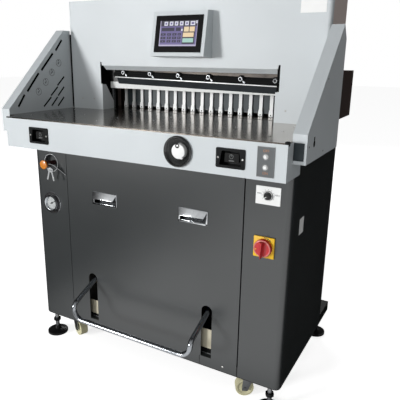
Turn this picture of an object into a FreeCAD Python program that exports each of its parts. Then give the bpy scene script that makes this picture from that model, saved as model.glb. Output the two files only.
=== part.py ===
# Electric paper cutter: a programmable hydraulic guillotine on a steel cabinet.
# Millimetres, +Z up, floor at Z 0, X across the table, Y from the operator to the rear.
# Depths are counted from the front face of the cabinet. Every sub-part is then moved
# forward by depthMiddle, so that the origin lies under the middle of the machine.
import FreeCAD, Part
import math
import os

import Sketcher

os.makedirs("parts", exist_ok=True)
doc = FreeCAD.newDocument("PaperCutter")
sheet = doc.addObject("Spreadsheet::Sheet", "Dims")

DIMENSIONS = {
    # whole machine
    "depthMiddle": 467.0,
    "sheetWall": 2.0,
    "seamGap": 2.0,
    "runningFit": 0.05,
    # base frame and what it stands on
    "baseMiddle": 0.35,
    "baseHalf": 482.85,
    "baseFront": 2.0,
    "baseRear": 594.0,
    "baseBottom": 88.6,
    "baseTop": 125.0,
    "baseRail": 60.0,
    "basePlate": 8.0,
    "footSpread": 449.5,
    "footFront": 22.0,
    "footRear": 548.0,
    "footPadRadius": 39.0,
    "footPadHeight": 8.0,
    "footDomeTop": 13.0,
    "footDomeFoot": 36.0,
    "footDomeNeck": 14.0,
    "footNeckRadius": 11.0,
    "footNeckTop": 27.0,
    "footStemRadius": 7.5,
    "footNutRadius": 14.0,
    "footNutLow": 50.0,
    "footNutHigh": 61.0,
    "casterSpread": 368.0,
    "casterFront": 58.0,
    "casterRear": 420.0,
    "casterTrail": 18.0,
    "casterPad": 38.0,
    "casterPadThick": 6.0,
    "casterRaceway": 24.0,
    "casterRacewayHigh": 7.0,
    "casterCheek": 3.0,
    "casterCheekHalf": 17.0,
    "casterAxle": 5.0,
    "casterAxleEnd": 3.0,
    "casterLegHalf": 9.0,
    "casterLegLow": 8.0,
    "casterLegFront": 10.0,
    "kingpinRadius": 6.0,
    "kingpinBottom": 70.0,
    "swivelGap": 0.4,
    "wheelRadius": 30.0,
    "wheelHalfWidth": 14.0,
    "wheelCentre": 33.0,
    "wheelDish": 3.0,
    "wheelDishOuter": 24.0,
    "wheelDishInner": 18.0,
    # cabinet
    "cabinetHalf": 484.85,
    "cabinetRear": 457.8,
    "cabinetBottom": 92.7,
    "cabinetCorner": 20.0,
    "seamLeft": -334.0,
    "seamRight": 346.5,
    "seamGapRight": 4.0,
    "seamReturn": 20.0,
    "frontPanelTop": 800.0,
    "rearPanelTop": 824.0,
    "valveX": -405.1,
    "valveZ": 702.1,
    "valveHoleRadius": 31.0,
    "valveCupDeep": 16.0,
    "valveStem": 9.0,
    "valveStemRear": 60.0,
    "valveBody": 12.5,
    "valveBodyRear": -14.0,
    "valveCap": 15.8,
    "valveCapRear": -34.0,
    "valveCapFront": -40.0,
    "gaugeX": -409.1,
    "gaugeZ": 553.3,
    "gaugeRadius": 40.0,
    "gaugeBoxRadius": 31.0,
    "gaugeDialRadius": 23.0,
    "gaugeFlange": 3.0,
    "gaugeRingFront": -14.0,
    "gaugeDialFront": -5.0,
    "gaugeBoxRear": 28.0,
    "gaugeBoxWall": 4.0,
    "needleHub": 2.5,
    "needleHalf": 0.8,
    "needleTail": 7.0,
    "needleFront": -8.0,
    "needleAngle": 60.0,
    "knobX": 415.0,
    "knobZ": 703.0,
    "knobPlateWide": 72.5,
    "knobPlateHigh": 52.5,
    "knobPlateThick": 1.5,
    "knobShaft": 4.0,
    "knobShaftRear": 12.0,
    "knobRadius": 9.0,
    "knobSkirt": 14.4,
    "knobSkirtRear": -2.0,
    "knobSkirtFront": -5.5,
    "knobFront": -14.5,
    "knobMarkHalf": 0.8,
    "switchX": 411.7,
    "switchZ": 550.0,
    "switchPlateSide": 63.0,
    "switchPlateThick": 5.0,
    "switchShaft": 6.0,
    "switchShaftRear": 30.0,
    "switchDiscRadius": 26.4,
    "switchDiscRear": -5.5,
    "switchDiscFront": -20.0,
    "switchGripFront": -36.0,
    "switchGripHalf": 7.0,
    "switchGripReach": 28.4,
    "pullMiddle": 5.3,
    "pullSpread": 171.5,
    "pullZ": 602.2,
    "pullWide": 103.0,
    "pullHigh": 46.0,
    "pullRim": 5.0,
    "pullWall": 3.0,
    "pullDeep": 18.0,
    "pullLipDrop": 21.0,
    "pullLipFront": -14.0,
    "slotLeftX": -233.9,
    "slotRightX": 232.6,
    "slotHalf": 18.9,
    "slotBottom": 126.0,
    "slotTop": 312.0,
    # table
    "tableHalf": 499.5,
    "tableFront": -125.9,
    "tableTop": 875.5,
    "tableThick": 20.0,
    "wideTableRear": 238.0,
    "frontTableRear": 345.0,
    "rearTableEnd": 1066.0,
    "rearTableHalf": 395.0,
    "tableSlotHalf": 13.0,
    "tableSlotRear": 1040.0,
    "stickFront": 270.0,
    "stickRear": 282.0,
    "stickHalf": 388.0,
    "stickDeep": 10.0,
    "jetRadius": 4.0,
    "jetPitchX": 143.0,
    "jetPitchY": 108.0,
    "jetFirstX": -433.0,
    "jetFirstY": -49.0,
    # front bar
    "barLeft": -469.2,
    "barRight": 503.2,
    "barFront": -127.9,
    "barBottom": 777.1,
    "barTop": 872.0,
    "barReturnRear": -15.0,
    "housingLeftX": -321.4,
    "housingRightX": 354.2,
    "housingZ": 823.8,
    "housingWide": 81.6,
    "housingHigh": 52.0,
    "housingThick": 3.0,
    "wellTopHalf": 24.3,
    "wellBottomHalf": 30.9,
    "wellHalfHigh": 19.0,
    "wellDeep": 22.0,
    "pushHalfWide": 20.0,
    "pushHalfHigh": 12.0,
    "pushFront": -121.0,
    "pushThick": 8.0,
    "pushStem": 5.0,
    "pushStemLong": 40.0,
    "switchButtonX": 449.6,
    "offZ": 838.2,
    "onZ": 811.5,
    "plateWide": 45.1,
    "plateHigh": 76.3,
    "plateMiddleX": 449.1,
    "plateMiddleZ": 824.6,
    "buttonRadius": 6.2,
    "buttonStem": 12.0,
    "buttonFront": 4.0,
    "buttonDome": 3.0,
    "handwheelX": 198.4,
    "handwheelZ": 825.7,
    "handwheelRadius": 43.0,
    "handwheelHub": 22.0,
    "handwheelDeep": 20.0,
    "handwheelFront": -136.0,
    "handwheelShaft": 6.0,
    "handwheelShaftLong": 40.0,
    "handwheelWeb": 5.0,
    # wings
    "wingOuter": 536.3,
    "wingFront": -85.0,
    "wingBottom": 818.0,
    "wingKneeZ": 893.9,
    "wingTopY": 199.4,
    "wingTopZ": 1163.6,
    "wingCutZ": 1126.0,
    "wingRear": 231.5,
    # gantry
    "gantryLeft": -499.5,
    "gantryRight": 490.0,
    "hoodInset": 0.8,
    "gantryFront": 231.5,
    "gantryRear": 412.0,
    "gantryTop": 1267.0,
    "gantryBottom": 840.0,
    "coverCorner": 11.0,
    "coverReturn": 250.0,
    "mouthLeft": -348.1,
    "mouthRight": 335.1,
    "mouthSlitLeft": -354.5,
    "mouthSlitRight": 347.2,
    "mouthSlitTop": 1051.0,
    "mouthStepLeft": 972.0,
    "mouthStepRight": 969.0,
    "lipFold": 1038.7,
    "lipBottom": 1023.5,
    "lipRear": 247.5,
    "cheekRearTop": 253.1,
    "cheekRearBottom": 298.5,
    "cheekKnee": 903.9,
    "consoleLeft": -88.6,
    "consoleRight": 112.7,
    "consoleFootY": 170.0,
    "consoleFootZ": 1073.8,
    "consoleHeadY": 196.6,
    "consoleHeadZ": 1215.0,
    "consoleRootLow": 1070.0,
    "consoleRootHigh": 1217.0,
    "screenInset": 12.5,
    "screenRecess": 16.0,
    "screenRoom": 0.3,
    # side frames, beam and clamp
    "frameHalf": 412.0,
    "frameThick": 25.0,
    "frameFront": 240.0,
    "frameRear": 408.0,
    "beamFront": 280.0,
    "beamRear": 340.0,
    "beamBottom": 1062.0,
    "beamTop": 1250.0,
    "beamSlotDeep": 24.0,
    "clampLeft": -344.0,
    "clampRight": 333.0,
    "clampFront": 277.0,
    "clampRear": 337.0,
    "clampBottom": 955.3,
    "clampTop": 1055.0,
    "clampRodX": 372.0,
    "clampRodY": 325.0,
    "clampRodRadius": 12.0,
    "clampEarBottom": 1000.0,
    "clampEarHalf": 14.0,
    "clampEarReach": 18.0,
    "clampRodSeat": 10.0,
    "cylinderRadius": 32.0,
    "cylinderBore": 24.0,
    "cylinderBottom": 530.0,
    "cylinderTop": 855.5,
    "cylinderCap": 8.0,
    "cylinderGland": 14.0,
    "clampPistonLow": 94.0,
    "knifePistonLow": 100.0,
    "pistonThick": 18.0,
    # knife
    "rollerX": 250.0,
    "rollerZ": 1190.0,
    "rollerSpread": 480.0,
    "rollerRadius": 20.0,
    "rollerPin": 8.0,
    "knifeSide": 42.0,
    "knifeDrop": 85.85,
    "knifeRestTilt": 1.1442,
    "knifeEdge": 228.25,
    "knifeLeft": -550.0,
    "knifeRight": 145.0,
    "knifeHigh": 98.0,
    "knifeBevel": 24.0,
    "knifeFront": 266.0,
    "knifeThick": 10.0,
    "carrierFront": 256.0,
    "lipFront": 250.0,
    "carrierLeft": -553.0,
    "carrierRight": 148.0,
    "carrierBottom": -201.0,
    "carrierStep": -186.0,
    "carrierHigh": -90.0,
    "carrierEarHalf": 34.0,
    "carrierEarTop": 30.0,
    "boltFirst": -506.2,
    "boltPitch": 117.5,
    "boltZ": -185.7,
    "boltBoss": 12.0,
    "boltHead": 7.5,
    "boltShank": 5.0,
    "boltHeadThick": 4.0,
    "socketRadius": 4.5,
    "socketDeep": 3.0,
    "pullRodX": 350.0,
    "pullRodZ": -110.0,
    "pullRodPin": 8.0,
    "pullSlotHalf": 8.8,
    "pullBarFront": 237.0,
    "pullBarRear": 247.0,
    "pullBarHalf": 10.0,
    "pullBarBottom": 942.0,
    "pullShaftRadius": 7.0,
    # back gauge
    "gaugeFace": 365.7,
    "gaugeBack": 384.0,
    "fingerFirst": -337.7,
    "fingerPitch": 38.4,
    "fingerHalf": 6.0,
    "fingerFlare": 1.5,
    "fingerFootTop": 12.0,
    "fingerFlareTop": 24.0,
    "fingerFootFront": 3.0,
    "combPlate": 12.0,
    "combPlateLow": 10.0,
    "combMargin": 9.0,
    "fingerTop": 1000.0,
    "carriageRear": 444.0,
    "saddleHalf": 60.0,
    "saddleHigh": 55.0,
    "runnerMargin": 16.0,
    "railX": 80.0,
    "railZ": 842.0,
    "railRadius": 9.0,
    "railWall": 4.0,
    "railLugThick": 12.0,
    "railLugMargin": 22.0,
    "screwRadius": 9.0,
    "beltCaseHalf": 32.0,
    "beltCaseBottom": 760.0,
    "gaugeMotorZ": 790.0,
    "gaugeMotorLong": 95.0,
    # rear housing
    "guardHalf": 397.0,
    "guardFront": 412.0,
    "guardRear": 1070.0,
    "guardBottom": 826.0,
    "guardHighFront": 1029.0,
    "guardHighRear": 1023.0,
    "lidThick": 3.0,
    "lidGap": 0.4,
    "lidHingeRadius": 5.0,
    "lidPinRadius": 2.5,
    "lidHingeBack": 8.0,
    "lidNotch": 4.0,
    "lidNotchLong": 18.0,
    "guardFlange": 10.0,
    # foot pedal
    "pedalShaftY": 48.0,
    "pedalShaftZ": 300.0,
    "pedalShaftRadius": 15.0,
    "pedalTube": 8.5,
    "pedalEndRadius": 8.0,
    "pedalEnd": 40.0,
    "pedalEndLong": 20.0,
    "pedalBracket": 12.0,
    "pedalBracketGap": 6.0,
    "pedalBracketFront": 22.0,
    "pedalBracketRear": 30.0,
    "pedalBracketTop": 20.0,
    "pedalLeft": -225.1,
    "pedalRight": 236.4,
    "pedalBendY": -112.0,
    "pedalBendZ": 242.0,
    "pedalBarY": -117.4,
    "pedalBarZ": 193.0,
    "pedalRootZ": 310.0,
    "pedalBendRadius": 26.0,
    "pedalBarRadius": 38.0,
    # inside the cabinet
    "tankLeft": -390.0,
    "tankRight": -110.0,
    "tankFront": 100.0,
    "tankRear": 380.0,
    "tankTop": 330.0,
    "pumpX": -190.0,
    "pumpY": 200.0,
    "pumpTop": 500.0,
    "pumpRadius": 62.0,
    "pumpFoot": 80.0,
    "pumpFootHigh": 12.0,
    "valveBlockLeft": -350.0,
    "valveBlockRight": -270.0,
    "valveBlockFront": 130.0,
    "valveBlockRear": 220.0,
    "valveBlockTop": 400.0,
    "fillerX": -330.0,
    "fillerY": 320.0,
    "fillerRadius": 22.0,
    "blowerY": 330.0,
    "blowerZ": 215.0,
    "blowerLeft": 90.0,
    "blowerRight": 170.0,
    "blowerRadius": 85.0,
    "blowerMotorRight": 270.0,
    "blowerMotorRadius": 52.0,
    "blowerOutletRight": 150.0,
    "blowerOutletRear": 380.0,
    "blowerOutletTop": 320.0,
    "blowerStandRight": 250.0,
    "blowerStandHalf": 60.0,
    "blowerStandTop": 160.0,
    "controlLeft": 60.0,
    "controlRight": 360.0,
    "controlFront": 80.0,
    "controlRear": 200.0,
    "controlBottom": 360.0,
    "controlTop": 700.0,
    "controlLeg": 20.0,
    "controlLegFront": 130.0,
}
FINGERS = 18
BOLTS = 6
JETS_X = 7
JETS_Y = 3
# How far each caster is turned about its upright axis, in degrees.
CASTER_TURNS = {"front_left": 248.0, "front_right": 119.7, "rear_left": 0.0, "rear_right": 0.0}

for row, (alias, value) in enumerate(DIMENSIONS.items(), start=1):
    sheet.set("A%d" % row, alias)
    sheet.set("B%d" % row, str(value))
    sheet.setAlias("B%d" % row, alias)
doc.recompute()


class Size:
    # A length with its value and the formula of sheet cells that gives it.
    def __init__(self, value, text):
        self.value = value
        self.text = text

    def __add__(self, other):
        other = asSize(other)
        return Size(self.value + other.value, "(%s + %s)" % (self.text, other.text))

    def __sub__(self, other):
        other = asSize(other)
        return Size(self.value - other.value, "(%s - %s)" % (self.text, other.text))

    def __mul__(self, other):
        other = asSize(other)
        return Size(self.value * other.value, "(%s * %s)" % (self.text, other.text))

    def __truediv__(self, other):
        other = asSize(other)
        return Size(self.value / other.value, "(%s / %s)" % (self.text, other.text))

    def __neg__(self):
        return Size(-self.value, "(0 - %s)" % self.text)

    def __radd__(self, other):
        return asSize(other) + self

    def __rsub__(self, other):
        return asSize(other) - self

    def __rmul__(self, other):
        return asSize(other) * self


def asSize(value):
    return value if isinstance(value, Size) else Size(float(value), repr(float(value)))


class Lengths:
    # Every cell of the sheet as an attribute.
    def __getattr__(self, alias):
        return Size(float(sheet.get(alias)), "Dims." + alias)


D = Lengths()
X_AXIS = FreeCAD.Vector(1, 0, 0)
Y_AXIS = FreeCAD.Vector(0, 1, 0)
Z_AXIS = FreeCAD.Vector(0, 0, 1)
TURNS = {
    "x": FreeCAD.Rotation(Y_AXIS, 90),
    "y": FreeCAD.Rotation(X_AXIS, -90),
    "z": FreeCAD.Rotation(),
}
cabinetLeft = D.baseMiddle - D.cabinetHalf
cabinetRight = D.baseMiddle + D.cabinetHalf
tableUnder = D.tableTop - D.tableThick
wall = D.sheetWall
spots = {}
subparts = []


def bind(item, prop, size):
    size = asSize(size)
    item.setExpression(prop, size.text)


def place(item, x, y, z, turn=None):
    # Puts an item at a point given by sheet formulas.
    spot = [asSize(value) for value in (x, y, z)]
    point = FreeCAD.Vector(*[size.value for size in spot])
    item.Placement = FreeCAD.Placement(point, turn or FreeCAD.Rotation())
    for letter, size in zip("xyz", spot):
        bind(item, ".Placement.Base." + letter, size)
    spots[item.Name] = (spot, turn)


def finish(label, item):
    # Names a sub-part and moves it forward to the machine's middle.
    item.Label = label
    spot, turn = spots.get(item.Name, ([asSize(0)] * 3, None))
    place(item, spot[0], spot[1] - D.depthMiddle, spot[2], turn)
    subparts.append(item)


def box(x, y, z):
    # A block between two formulas on each axis.
    solid = doc.addObject("Part::Box", "Block")
    for prop, (low, high) in zip(("Length", "Width", "Height"), (x, y, z)):
        bind(solid, prop, asSize(high) - low)
    place(solid, x[0], y[0], z[0])
    return solid


def rod(axis, centre, start, end, radius):
    # A cylinder along an axis; centre is on the other two axes, in order.
    solid = doc.addObject("Part::Cylinder", "Rod")
    bind(solid, "Radius", radius)
    bind(solid, "Height", asSize(end) - start)
    corner = list(centre)
    corner.insert("xyz".index(axis), start)
    place(solid, *corner, TURNS[axis])
    return solid


def cone(axis, centre, start, end, startRadius, endRadius):
    solid = doc.addObject("Part::Cone", "Cone")
    bind(solid, "Radius1", startRadius)
    bind(solid, "Radius2", endRadius)
    bind(solid, "Height", asSize(end) - start)
    corner = list(centre)
    corner.insert("xyz".index(axis), start)
    place(solid, *corner, TURNS[axis])
    return solid


def fuse(*parts):
    joined = doc.addObject("Part::MultiFuse", "Joined")
    joined.Shapes = list(parts)
    return joined


def cut(base, *tools):
    result = doc.addObject("Part::Cut", "Cut")
    result.Base = base
    result.Tool = tools[0] if len(tools) == 1 else fuse(*tools)
    return result


def group(*parts):
    # Identical loose pieces that share one node.
    result = doc.addObject("Part::Compound", "Group")
    result.Links = list(parts)
    return result


def originPlane(body, role):
    return next(item for item in body.Origin.OriginFeatures if item.Role == role)


def newSketch(body, role):
    sketch = body.newObject("Sketcher::SketchObject", "Outline")
    sketch.AttachmentSupport = (originPlane(body, role), [""])
    sketch.MapMode = "FlatFace"
    return sketch


def pin(sketch, geometry, position, point):
    # Holds a sketch point at two formulas from the origin.
    for kind, size in zip(("DistanceX", "DistanceY"), point):
        size = asSize(size)
        index = sketch.addConstraint(
            Sketcher.Constraint(kind, -1, 1, geometry, position, size.value))
        sketch.setExpression("Constraints[%d]" % index, size.text)


def drawPolygon(sketch, points):
    spots2d = [FreeCAD.Vector(asSize(x).value, asSize(y).value, 0) for x, y in points]
    count = len(points)
    lines = [Part.LineSegment(spots2d[i], spots2d[(i + 1) % count]) for i in range(count)]
    first = sketch.GeometryCount
    sketch.addGeometry(lines, False)
    for i in range(count):
        sketch.addConstraint(
            Sketcher.Constraint("Coincident", first + i, 2, first + (i + 1) % count, 1))
    for i, point in enumerate(points):
        pin(sketch, first + i, 1, point)


def drawCircle(sketch, point, radius):
    radius = asSize(radius)
    centre = FreeCAD.Vector(asSize(point[0]).value, asSize(point[1]).value, 0)
    item = sketch.addGeometry(Part.Circle(centre, Z_AXIS, radius.value), False)
    pin(sketch, item, 3, point)
    index = sketch.addConstraint(Sketcher.Constraint("Radius", item, radius.value))
    sketch.setExpression("Constraints[%d]" % index, radius.text)


def drawSlot(sketch, low, high, radius):
    # A straight slot with round ends, between two centres.
    radius = asSize(radius)
    a = FreeCAD.Vector(asSize(low[0]).value, asSize(low[1]).value, 0)
    b = FreeCAD.Vector(asSize(high[0]).value, asSize(high[1]).value, 0)
    angle = math.atan2(b.y - a.y, b.x - a.x)
    quarter = math.pi / 2
    side = FreeCAD.Vector(-math.sin(angle), math.cos(angle), 0) * radius.value
    farEnd = Part.ArcOfCircle(Part.Circle(b, Z_AXIS, radius.value), angle - quarter, angle + quarter)
    nearEnd = Part.ArcOfCircle(
        Part.Circle(a, Z_AXIS, radius.value), angle + quarter, angle + 3 * quarter)
    first = sketch.GeometryCount
    sketch.addGeometry([farEnd, Part.LineSegment(b + side, a + side), nearEnd,
                        Part.LineSegment(a - side, b - side)], False)
    for left, right in ((0, 1), (1, 2), (2, 3), (3, 0)):
        sketch.addConstraint(
            Sketcher.Constraint("Tangent", first + left, 2, first + right, 1))
    pin(sketch, first, 3, high)
    pin(sketch, first + 2, 3, low)
    index = sketch.addConstraint(Sketcher.Constraint("Radius", first, radius.value))
    sketch.setExpression("Constraints[%d]" % index, radius.text)


def extruded(role, points, start, end, holes=(), slots=(), rounds=()):
    # A plate padded from an outline, with round holes and slots through it, and with
    # the edges that stand on the corner points in rounds rounded.
    body = doc.addObject("PartDesign::Body", "Plate")
    sketch = newSketch(body, role)
    drawPolygon(sketch, points)
    for centre, radius in holes:
        drawCircle(sketch, centre, radius)
    for low, high, radius in slots:
        drawSlot(sketch, low, high, radius)
    pad = body.newObject("PartDesign::Pad", "Pad")
    pad.Profile = sketch
    bind(pad, "Length", asSize(end) - start)
    # The normal of the XZ plane points to the front, so that pad is turned round.
    pad.Reversed = role == "XZ_Plane"
    doc.recompute()
    last = pad
    for corners, radius in rounds:
        names = edgesAt(body.Shape, role, corners)
        rounding = body.newObject("PartDesign::Fillet", "Rounded")
        rounding.Base = (last, names)
        bind(rounding, "Radius", radius)
        doc.recompute()
        last = rounding
    corner = {"XY_Plane": (0, 0, start), "XZ_Plane": (0, start, 0), "YZ_Plane": (start, 0, 0)}
    place(body, *corner[role])
    return body


def edgesAt(shape, role, corners):
    # The names of the straight edges that run through an outline's corners.
    pick = {"XY_Plane": ("x", "y"), "XZ_Plane": ("x", "z"), "YZ_Plane": ("y", "z")}[role]
    names = []
    for index, edge in enumerate(shape.Edges, start=1):
        ends = [vertex.Point for vertex in edge.Vertexes]
        for corner in corners:
            wanted = [asSize(value).value for value in corner]
            near = [abs(getattr(end, axis) - value) < 0.01
                    for end in ends for axis, value in zip(pick, wanted)]
            if len(ends) == 2 and all(near):
                names.append("Edge%d" % index)
    return names


def mirrored(low, high, middle):
    # The same span on the other side of a middle plane.
    return (2 * asSize(middle) - high, 2 * asSize(middle) - low)


def baseFrame():
    # Welded base: a floor plate on a perimeter of deep rails, with caster pads under it.
    left = D.baseMiddle - D.baseHalf
    right = D.baseMiddle + D.baseHalf
    corner = D.cabinetCorner - wall
    plate = extruded(
        "XY_Plane",
        [(left, D.baseFront), (right, D.baseFront), (right, D.baseRear), (left, D.baseRear)],
        D.baseBottom, D.baseTop,
        rounds=[([(left, D.baseFront), (right, D.baseFront)], corner)])
    hollow = box((left + D.baseRail, right - D.baseRail),
                 (D.baseFront + D.baseRail, D.baseRear - D.baseRail),
                 (D.baseBottom, D.baseTop - D.basePlate))
    crossRear = box((left + D.baseRail, right - D.baseRail),
                    (D.casterRear - D.casterPad, D.casterRear + D.casterPad),
                    (D.baseBottom, D.baseTop - D.basePlate))
    frame = fuse(cut(plate, hollow), crossRear)
    pads = []
    for side in (-1, 1):
        x = D.baseMiddle + side * D.casterSpread
        for y in (D.casterFront, D.casterRear):
            pads.append(box((x - D.casterPad, x + D.casterPad), (y - D.casterPad, y + D.casterPad),
                            (D.baseBottom - D.casterPadThick, D.baseBottom)))
        pads.append(rod("z", (x, D.casterFront), D.kingpinBottom, D.baseBottom, D.kingpinRadius))
    finish("base_frame", fuse(frame, *pads))


def levellingFeet():
    # Four rubber pads on threaded stems, each locked with a nut.
    feet = []
    for side in (-1, 1):
        x = D.baseMiddle + side * D.footSpread
        for y in (D.footFront, D.footRear):
            centre = (x, y)
            pad = rod("z", centre, 0, D.footPadHeight, D.footPadRadius)
            dome = cone("z", centre, D.footPadHeight, D.footDomeTop, D.footDomeFoot,
                        D.footDomeNeck)
            neck = rod("z", centre, D.footPadHeight, D.footNeckTop, D.footNeckRadius)
            stem = rod("z", centre, D.footPadHeight, D.baseBottom, D.footStemRadius)
            nut = doc.addObject("Part::Prism", "Nut")
            nut.Polygon = 6
            bind(nut, "Circumradius", D.footNutRadius)
            bind(nut, "Height", D.footNutHigh - D.footNutLow)
            place(nut, x, y, D.footNutLow)
            feet.append(fuse(pad, dome, neck, stem, nut))
    finish("levelling_feet", group(*feet))


def casters():
    # Two swivelling casters at the front and two rigid ones at the rear. The fork is
    # drawn about its own swivel axis, then turned to where it stands.
    pad = D.baseBottom - D.casterPadThick
    raceway = pad - D.casterRacewayHigh
    cheek = D.casterCheekHalf + D.casterCheek
    rearForks = []
    for name, angle in CASTER_TURNS.items():
        side = -1 if name.endswith("left") else 1
        swivels = name.startswith("front")
        x = D.baseMiddle + side * D.casterSpread
        y = D.casterFront if swivels else D.casterRear
        turn = FreeCAD.Rotation(Z_AXIS, angle)
        top = pad - D.swivelGap if swivels else pad
        race = rod("z", (0, 0), raceway, top, D.casterRaceway)
        crown = box((-cheek, cheek), (-D.casterRaceway, D.casterRaceway),
                    (raceway - D.casterCheek, raceway))
        legs = []
        for leg in ((-cheek, -D.casterCheekHalf), (D.casterCheekHalf, cheek)):
            near = D.casterTrail - D.casterLegHalf
            far = D.casterTrail + D.casterLegHalf
            low = D.wheelCentre - D.casterLegLow
            legs.append(extruded(
                "YZ_Plane",
                [(near, low), (far, low), (far, D.wheelCentre + D.casterLegLow),
                 (D.casterRaceway, raceway - D.casterCheek),
                 (-D.casterLegFront, raceway - D.casterCheek)],
                leg[0], leg[1]))
        axle = rod("x", (D.casterTrail, D.wheelCentre), -cheek - D.casterAxleEnd,
                   cheek + D.casterAxleEnd, D.casterAxle)
        fork = fuse(race, crown, *legs, axle)
        if swivels:
            fork = cut(fork, rod("z", (0, 0), D.kingpinBottom - 1, D.baseBottom,
                                 D.kingpinRadius + D.runningFit))
        place(fork, x, y, 0, turn)
        tread = rod("x", (0, D.wheelCentre), -D.wheelHalfWidth, D.wheelHalfWidth, D.wheelRadius)
        bore = rod("x", (0, D.wheelCentre), -D.wheelHalfWidth, D.wheelHalfWidth,
                   D.casterAxle + D.runningFit)
        dishes = [cone("x", (0, D.wheelCentre), -D.wheelHalfWidth,
                       D.wheelDish - D.wheelHalfWidth, D.wheelDishOuter, D.wheelDishInner),
                  cone("x", (0, D.wheelCentre), D.wheelHalfWidth - D.wheelDish,
                       D.wheelHalfWidth, D.wheelDishInner, D.wheelDishOuter)]
        wheel = cut(tread, bore, *dishes)
        sine = math.sin(math.radians(angle))
        cosine = math.cos(math.radians(angle))
        place(wheel, x - D.casterTrail * sine, y + D.casterTrail * cosine, 0, turn)
        if swivels:
            finish("caster_fork_" + name, fork)
        else:
            rearForks.append(fork)
        finish("caster_wheel_" + name, wheel)
    finish("rear_caster_forks", group(*rearForks))


def columnPanel(label, side, holes):
    # A front column and a side wall in one sheet, with a rounded corner and a return
    # at the seam. side is -1 for the left column and 1 for the right one.
    outer = cabinetLeft if side < 0 else cabinetRight
    seam = D.seamLeft if side < 0 else D.seamRight
    inner = outer - side * wall
    seamInner = seam + side * wall
    points = [(seam, 0), (outer, 0), (outer, D.cabinetRear), (inner, D.cabinetRear),
              (inner, wall), (seamInner, wall), (seamInner, D.seamReturn), (seam, D.seamReturn)]
    panel = extruded("XY_Plane", points, D.cabinetBottom, tableUnder,
                     rounds=[([(outer, 0)], D.cabinetCorner),
                             ([(inner, wall)], D.cabinetCorner - wall)])
    tools = [rod("y", (x, z), -wall, 2 * wall, radius) for x, z, radius in holes]
    # The return stops above the base.
    tools.append(box((seam - 2 * wall, seam + 2 * wall), (wall, 2 * D.seamReturn),
                     (0, D.baseTop)))
    pierced = cut(panel, *tools)
    if side < 0:
        pierced = fuse(pierced, valveCup())
    finish(label, pierced)


def valveCup():
    # The shallow cup behind the round hole, in which the valve's stem turns.
    spot = (D.valveX, D.valveZ)
    cup = rod("y", spot, wall, D.valveCupDeep + wall, D.valveHoleRadius + wall)
    hollow = rod("y", spot, 0, D.valveCupDeep, D.valveHoleRadius)
    bore = rod("y", spot, 0, D.valveCupDeep + 2 * wall, D.valveStem + D.runningFit)
    return cut(cup, hollow, bore)


def frontPanel():
    # The middle panel: a shallow tray with two recessed pulls and two pedal slots.
    left = D.seamLeft + D.seamGap
    right = D.seamRight - D.seamGapRight
    tray = box((left, right), (0, D.seamReturn), (D.cabinetBottom, D.frontPanelTop))
    hollow = box((left + wall, right - wall), (wall, 2 * D.seamReturn),
                 (D.baseTop + wall, D.frontPanelTop - wall))
    clear = box((left, right), (wall, 2 * D.seamReturn), (0, D.baseTop))
    tools = [hollow, clear]
    for side in (-1, 1):
        x = D.pullMiddle + side * D.pullSpread
        half = D.pullWide / 2 - D.pullRim + 1
        halfHigh = D.pullHigh / 2 - D.pullRim + 1
        tools.append(box((x - half, x + half), (-wall, 2 * wall),
                         (D.pullZ - halfHigh, D.pullZ + halfHigh)))
    for x in (D.slotLeftX, D.slotRightX):
        tools.append(box((x - D.slotHalf, x + D.slotHalf), (-wall, 2 * D.seamReturn),
                         (D.slotBottom, D.slotTop - D.slotHalf)))
        tools.append(rod("y", (x, D.slotTop - D.slotHalf), -wall, 2 * wall, D.slotHalf))
    finish("front_panel", cut(tray, *tools))


def rearPanel():
    # The rear sheet, with a shoulder on each side of the rear housing folded forward.
    rear = D.cabinetRear
    parts = [box((cabinetLeft + wall, cabinetRight - wall), (rear - wall, rear),
                 (D.baseTop, D.rearPanelTop))]
    for span in ((cabinetLeft + wall, -D.guardHalf - 3), (D.guardHalf + 3, cabinetRight - wall)):
        parts.append(box(span, (rear - wall, rear), (D.baseTop, tableUnder)))
        parts.append(box(span, (D.gantryRear, rear), (tableUnder - wall, tableUnder)))
    finish("rear_panel", fuse(*parts))


def panelPulls():
    # Chromed finger trays with a lip that hangs over the opening.
    pulls = []
    for side in (-1, 1):
        x = D.pullMiddle + side * D.pullSpread
        half = D.pullWide / 2
        low = D.pullZ - D.pullHigh / 2
        high = D.pullZ + D.pullHigh / 2
        flange = box((x - half, x + half), (-wall, 0), (low, high))
        trayHalf = half - D.pullRim
        tray = box((x - trayHalf, x + trayHalf), (-wall, D.pullDeep),
                   (low + D.pullRim, high - D.pullRim))
        cupHalf = trayHalf - D.pullRim
        hollow = box((x - cupHalf, x + cupHalf), (-2 * wall, D.pullDeep - wall),
                     (low + D.pullRim + D.pullWall, high - D.pullRim - wall))
        grip = extruded("YZ_Plane",
                        [(-wall, high), (D.pullLipFront, high - D.pullLipDrop),
                         (D.pullLipFront + wall, high - D.pullLipDrop - 1),
                         (-wall, high - D.pullRim - wall)],
                        x - half + D.pullWall, x + half - D.pullWall)
        pulls.append(fuse(cut(fuse(flange, tray), hollow), grip))
    finish("panel_pulls", group(*pulls))


def sideFrames():
    # Two thick plates that carry the beam, from the base to the top of the gantry.
    plates = []
    for side in (-1, 1):
        span = (D.frameHalf, D.frameHalf + D.frameThick)
        if side < 0:
            span = mirrored(*span, 0)
        plates.append(box(span, (D.frameFront, D.frameRear), (D.baseTop, D.beamTop)))
    finish("side_frames", group(*plates))


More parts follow.
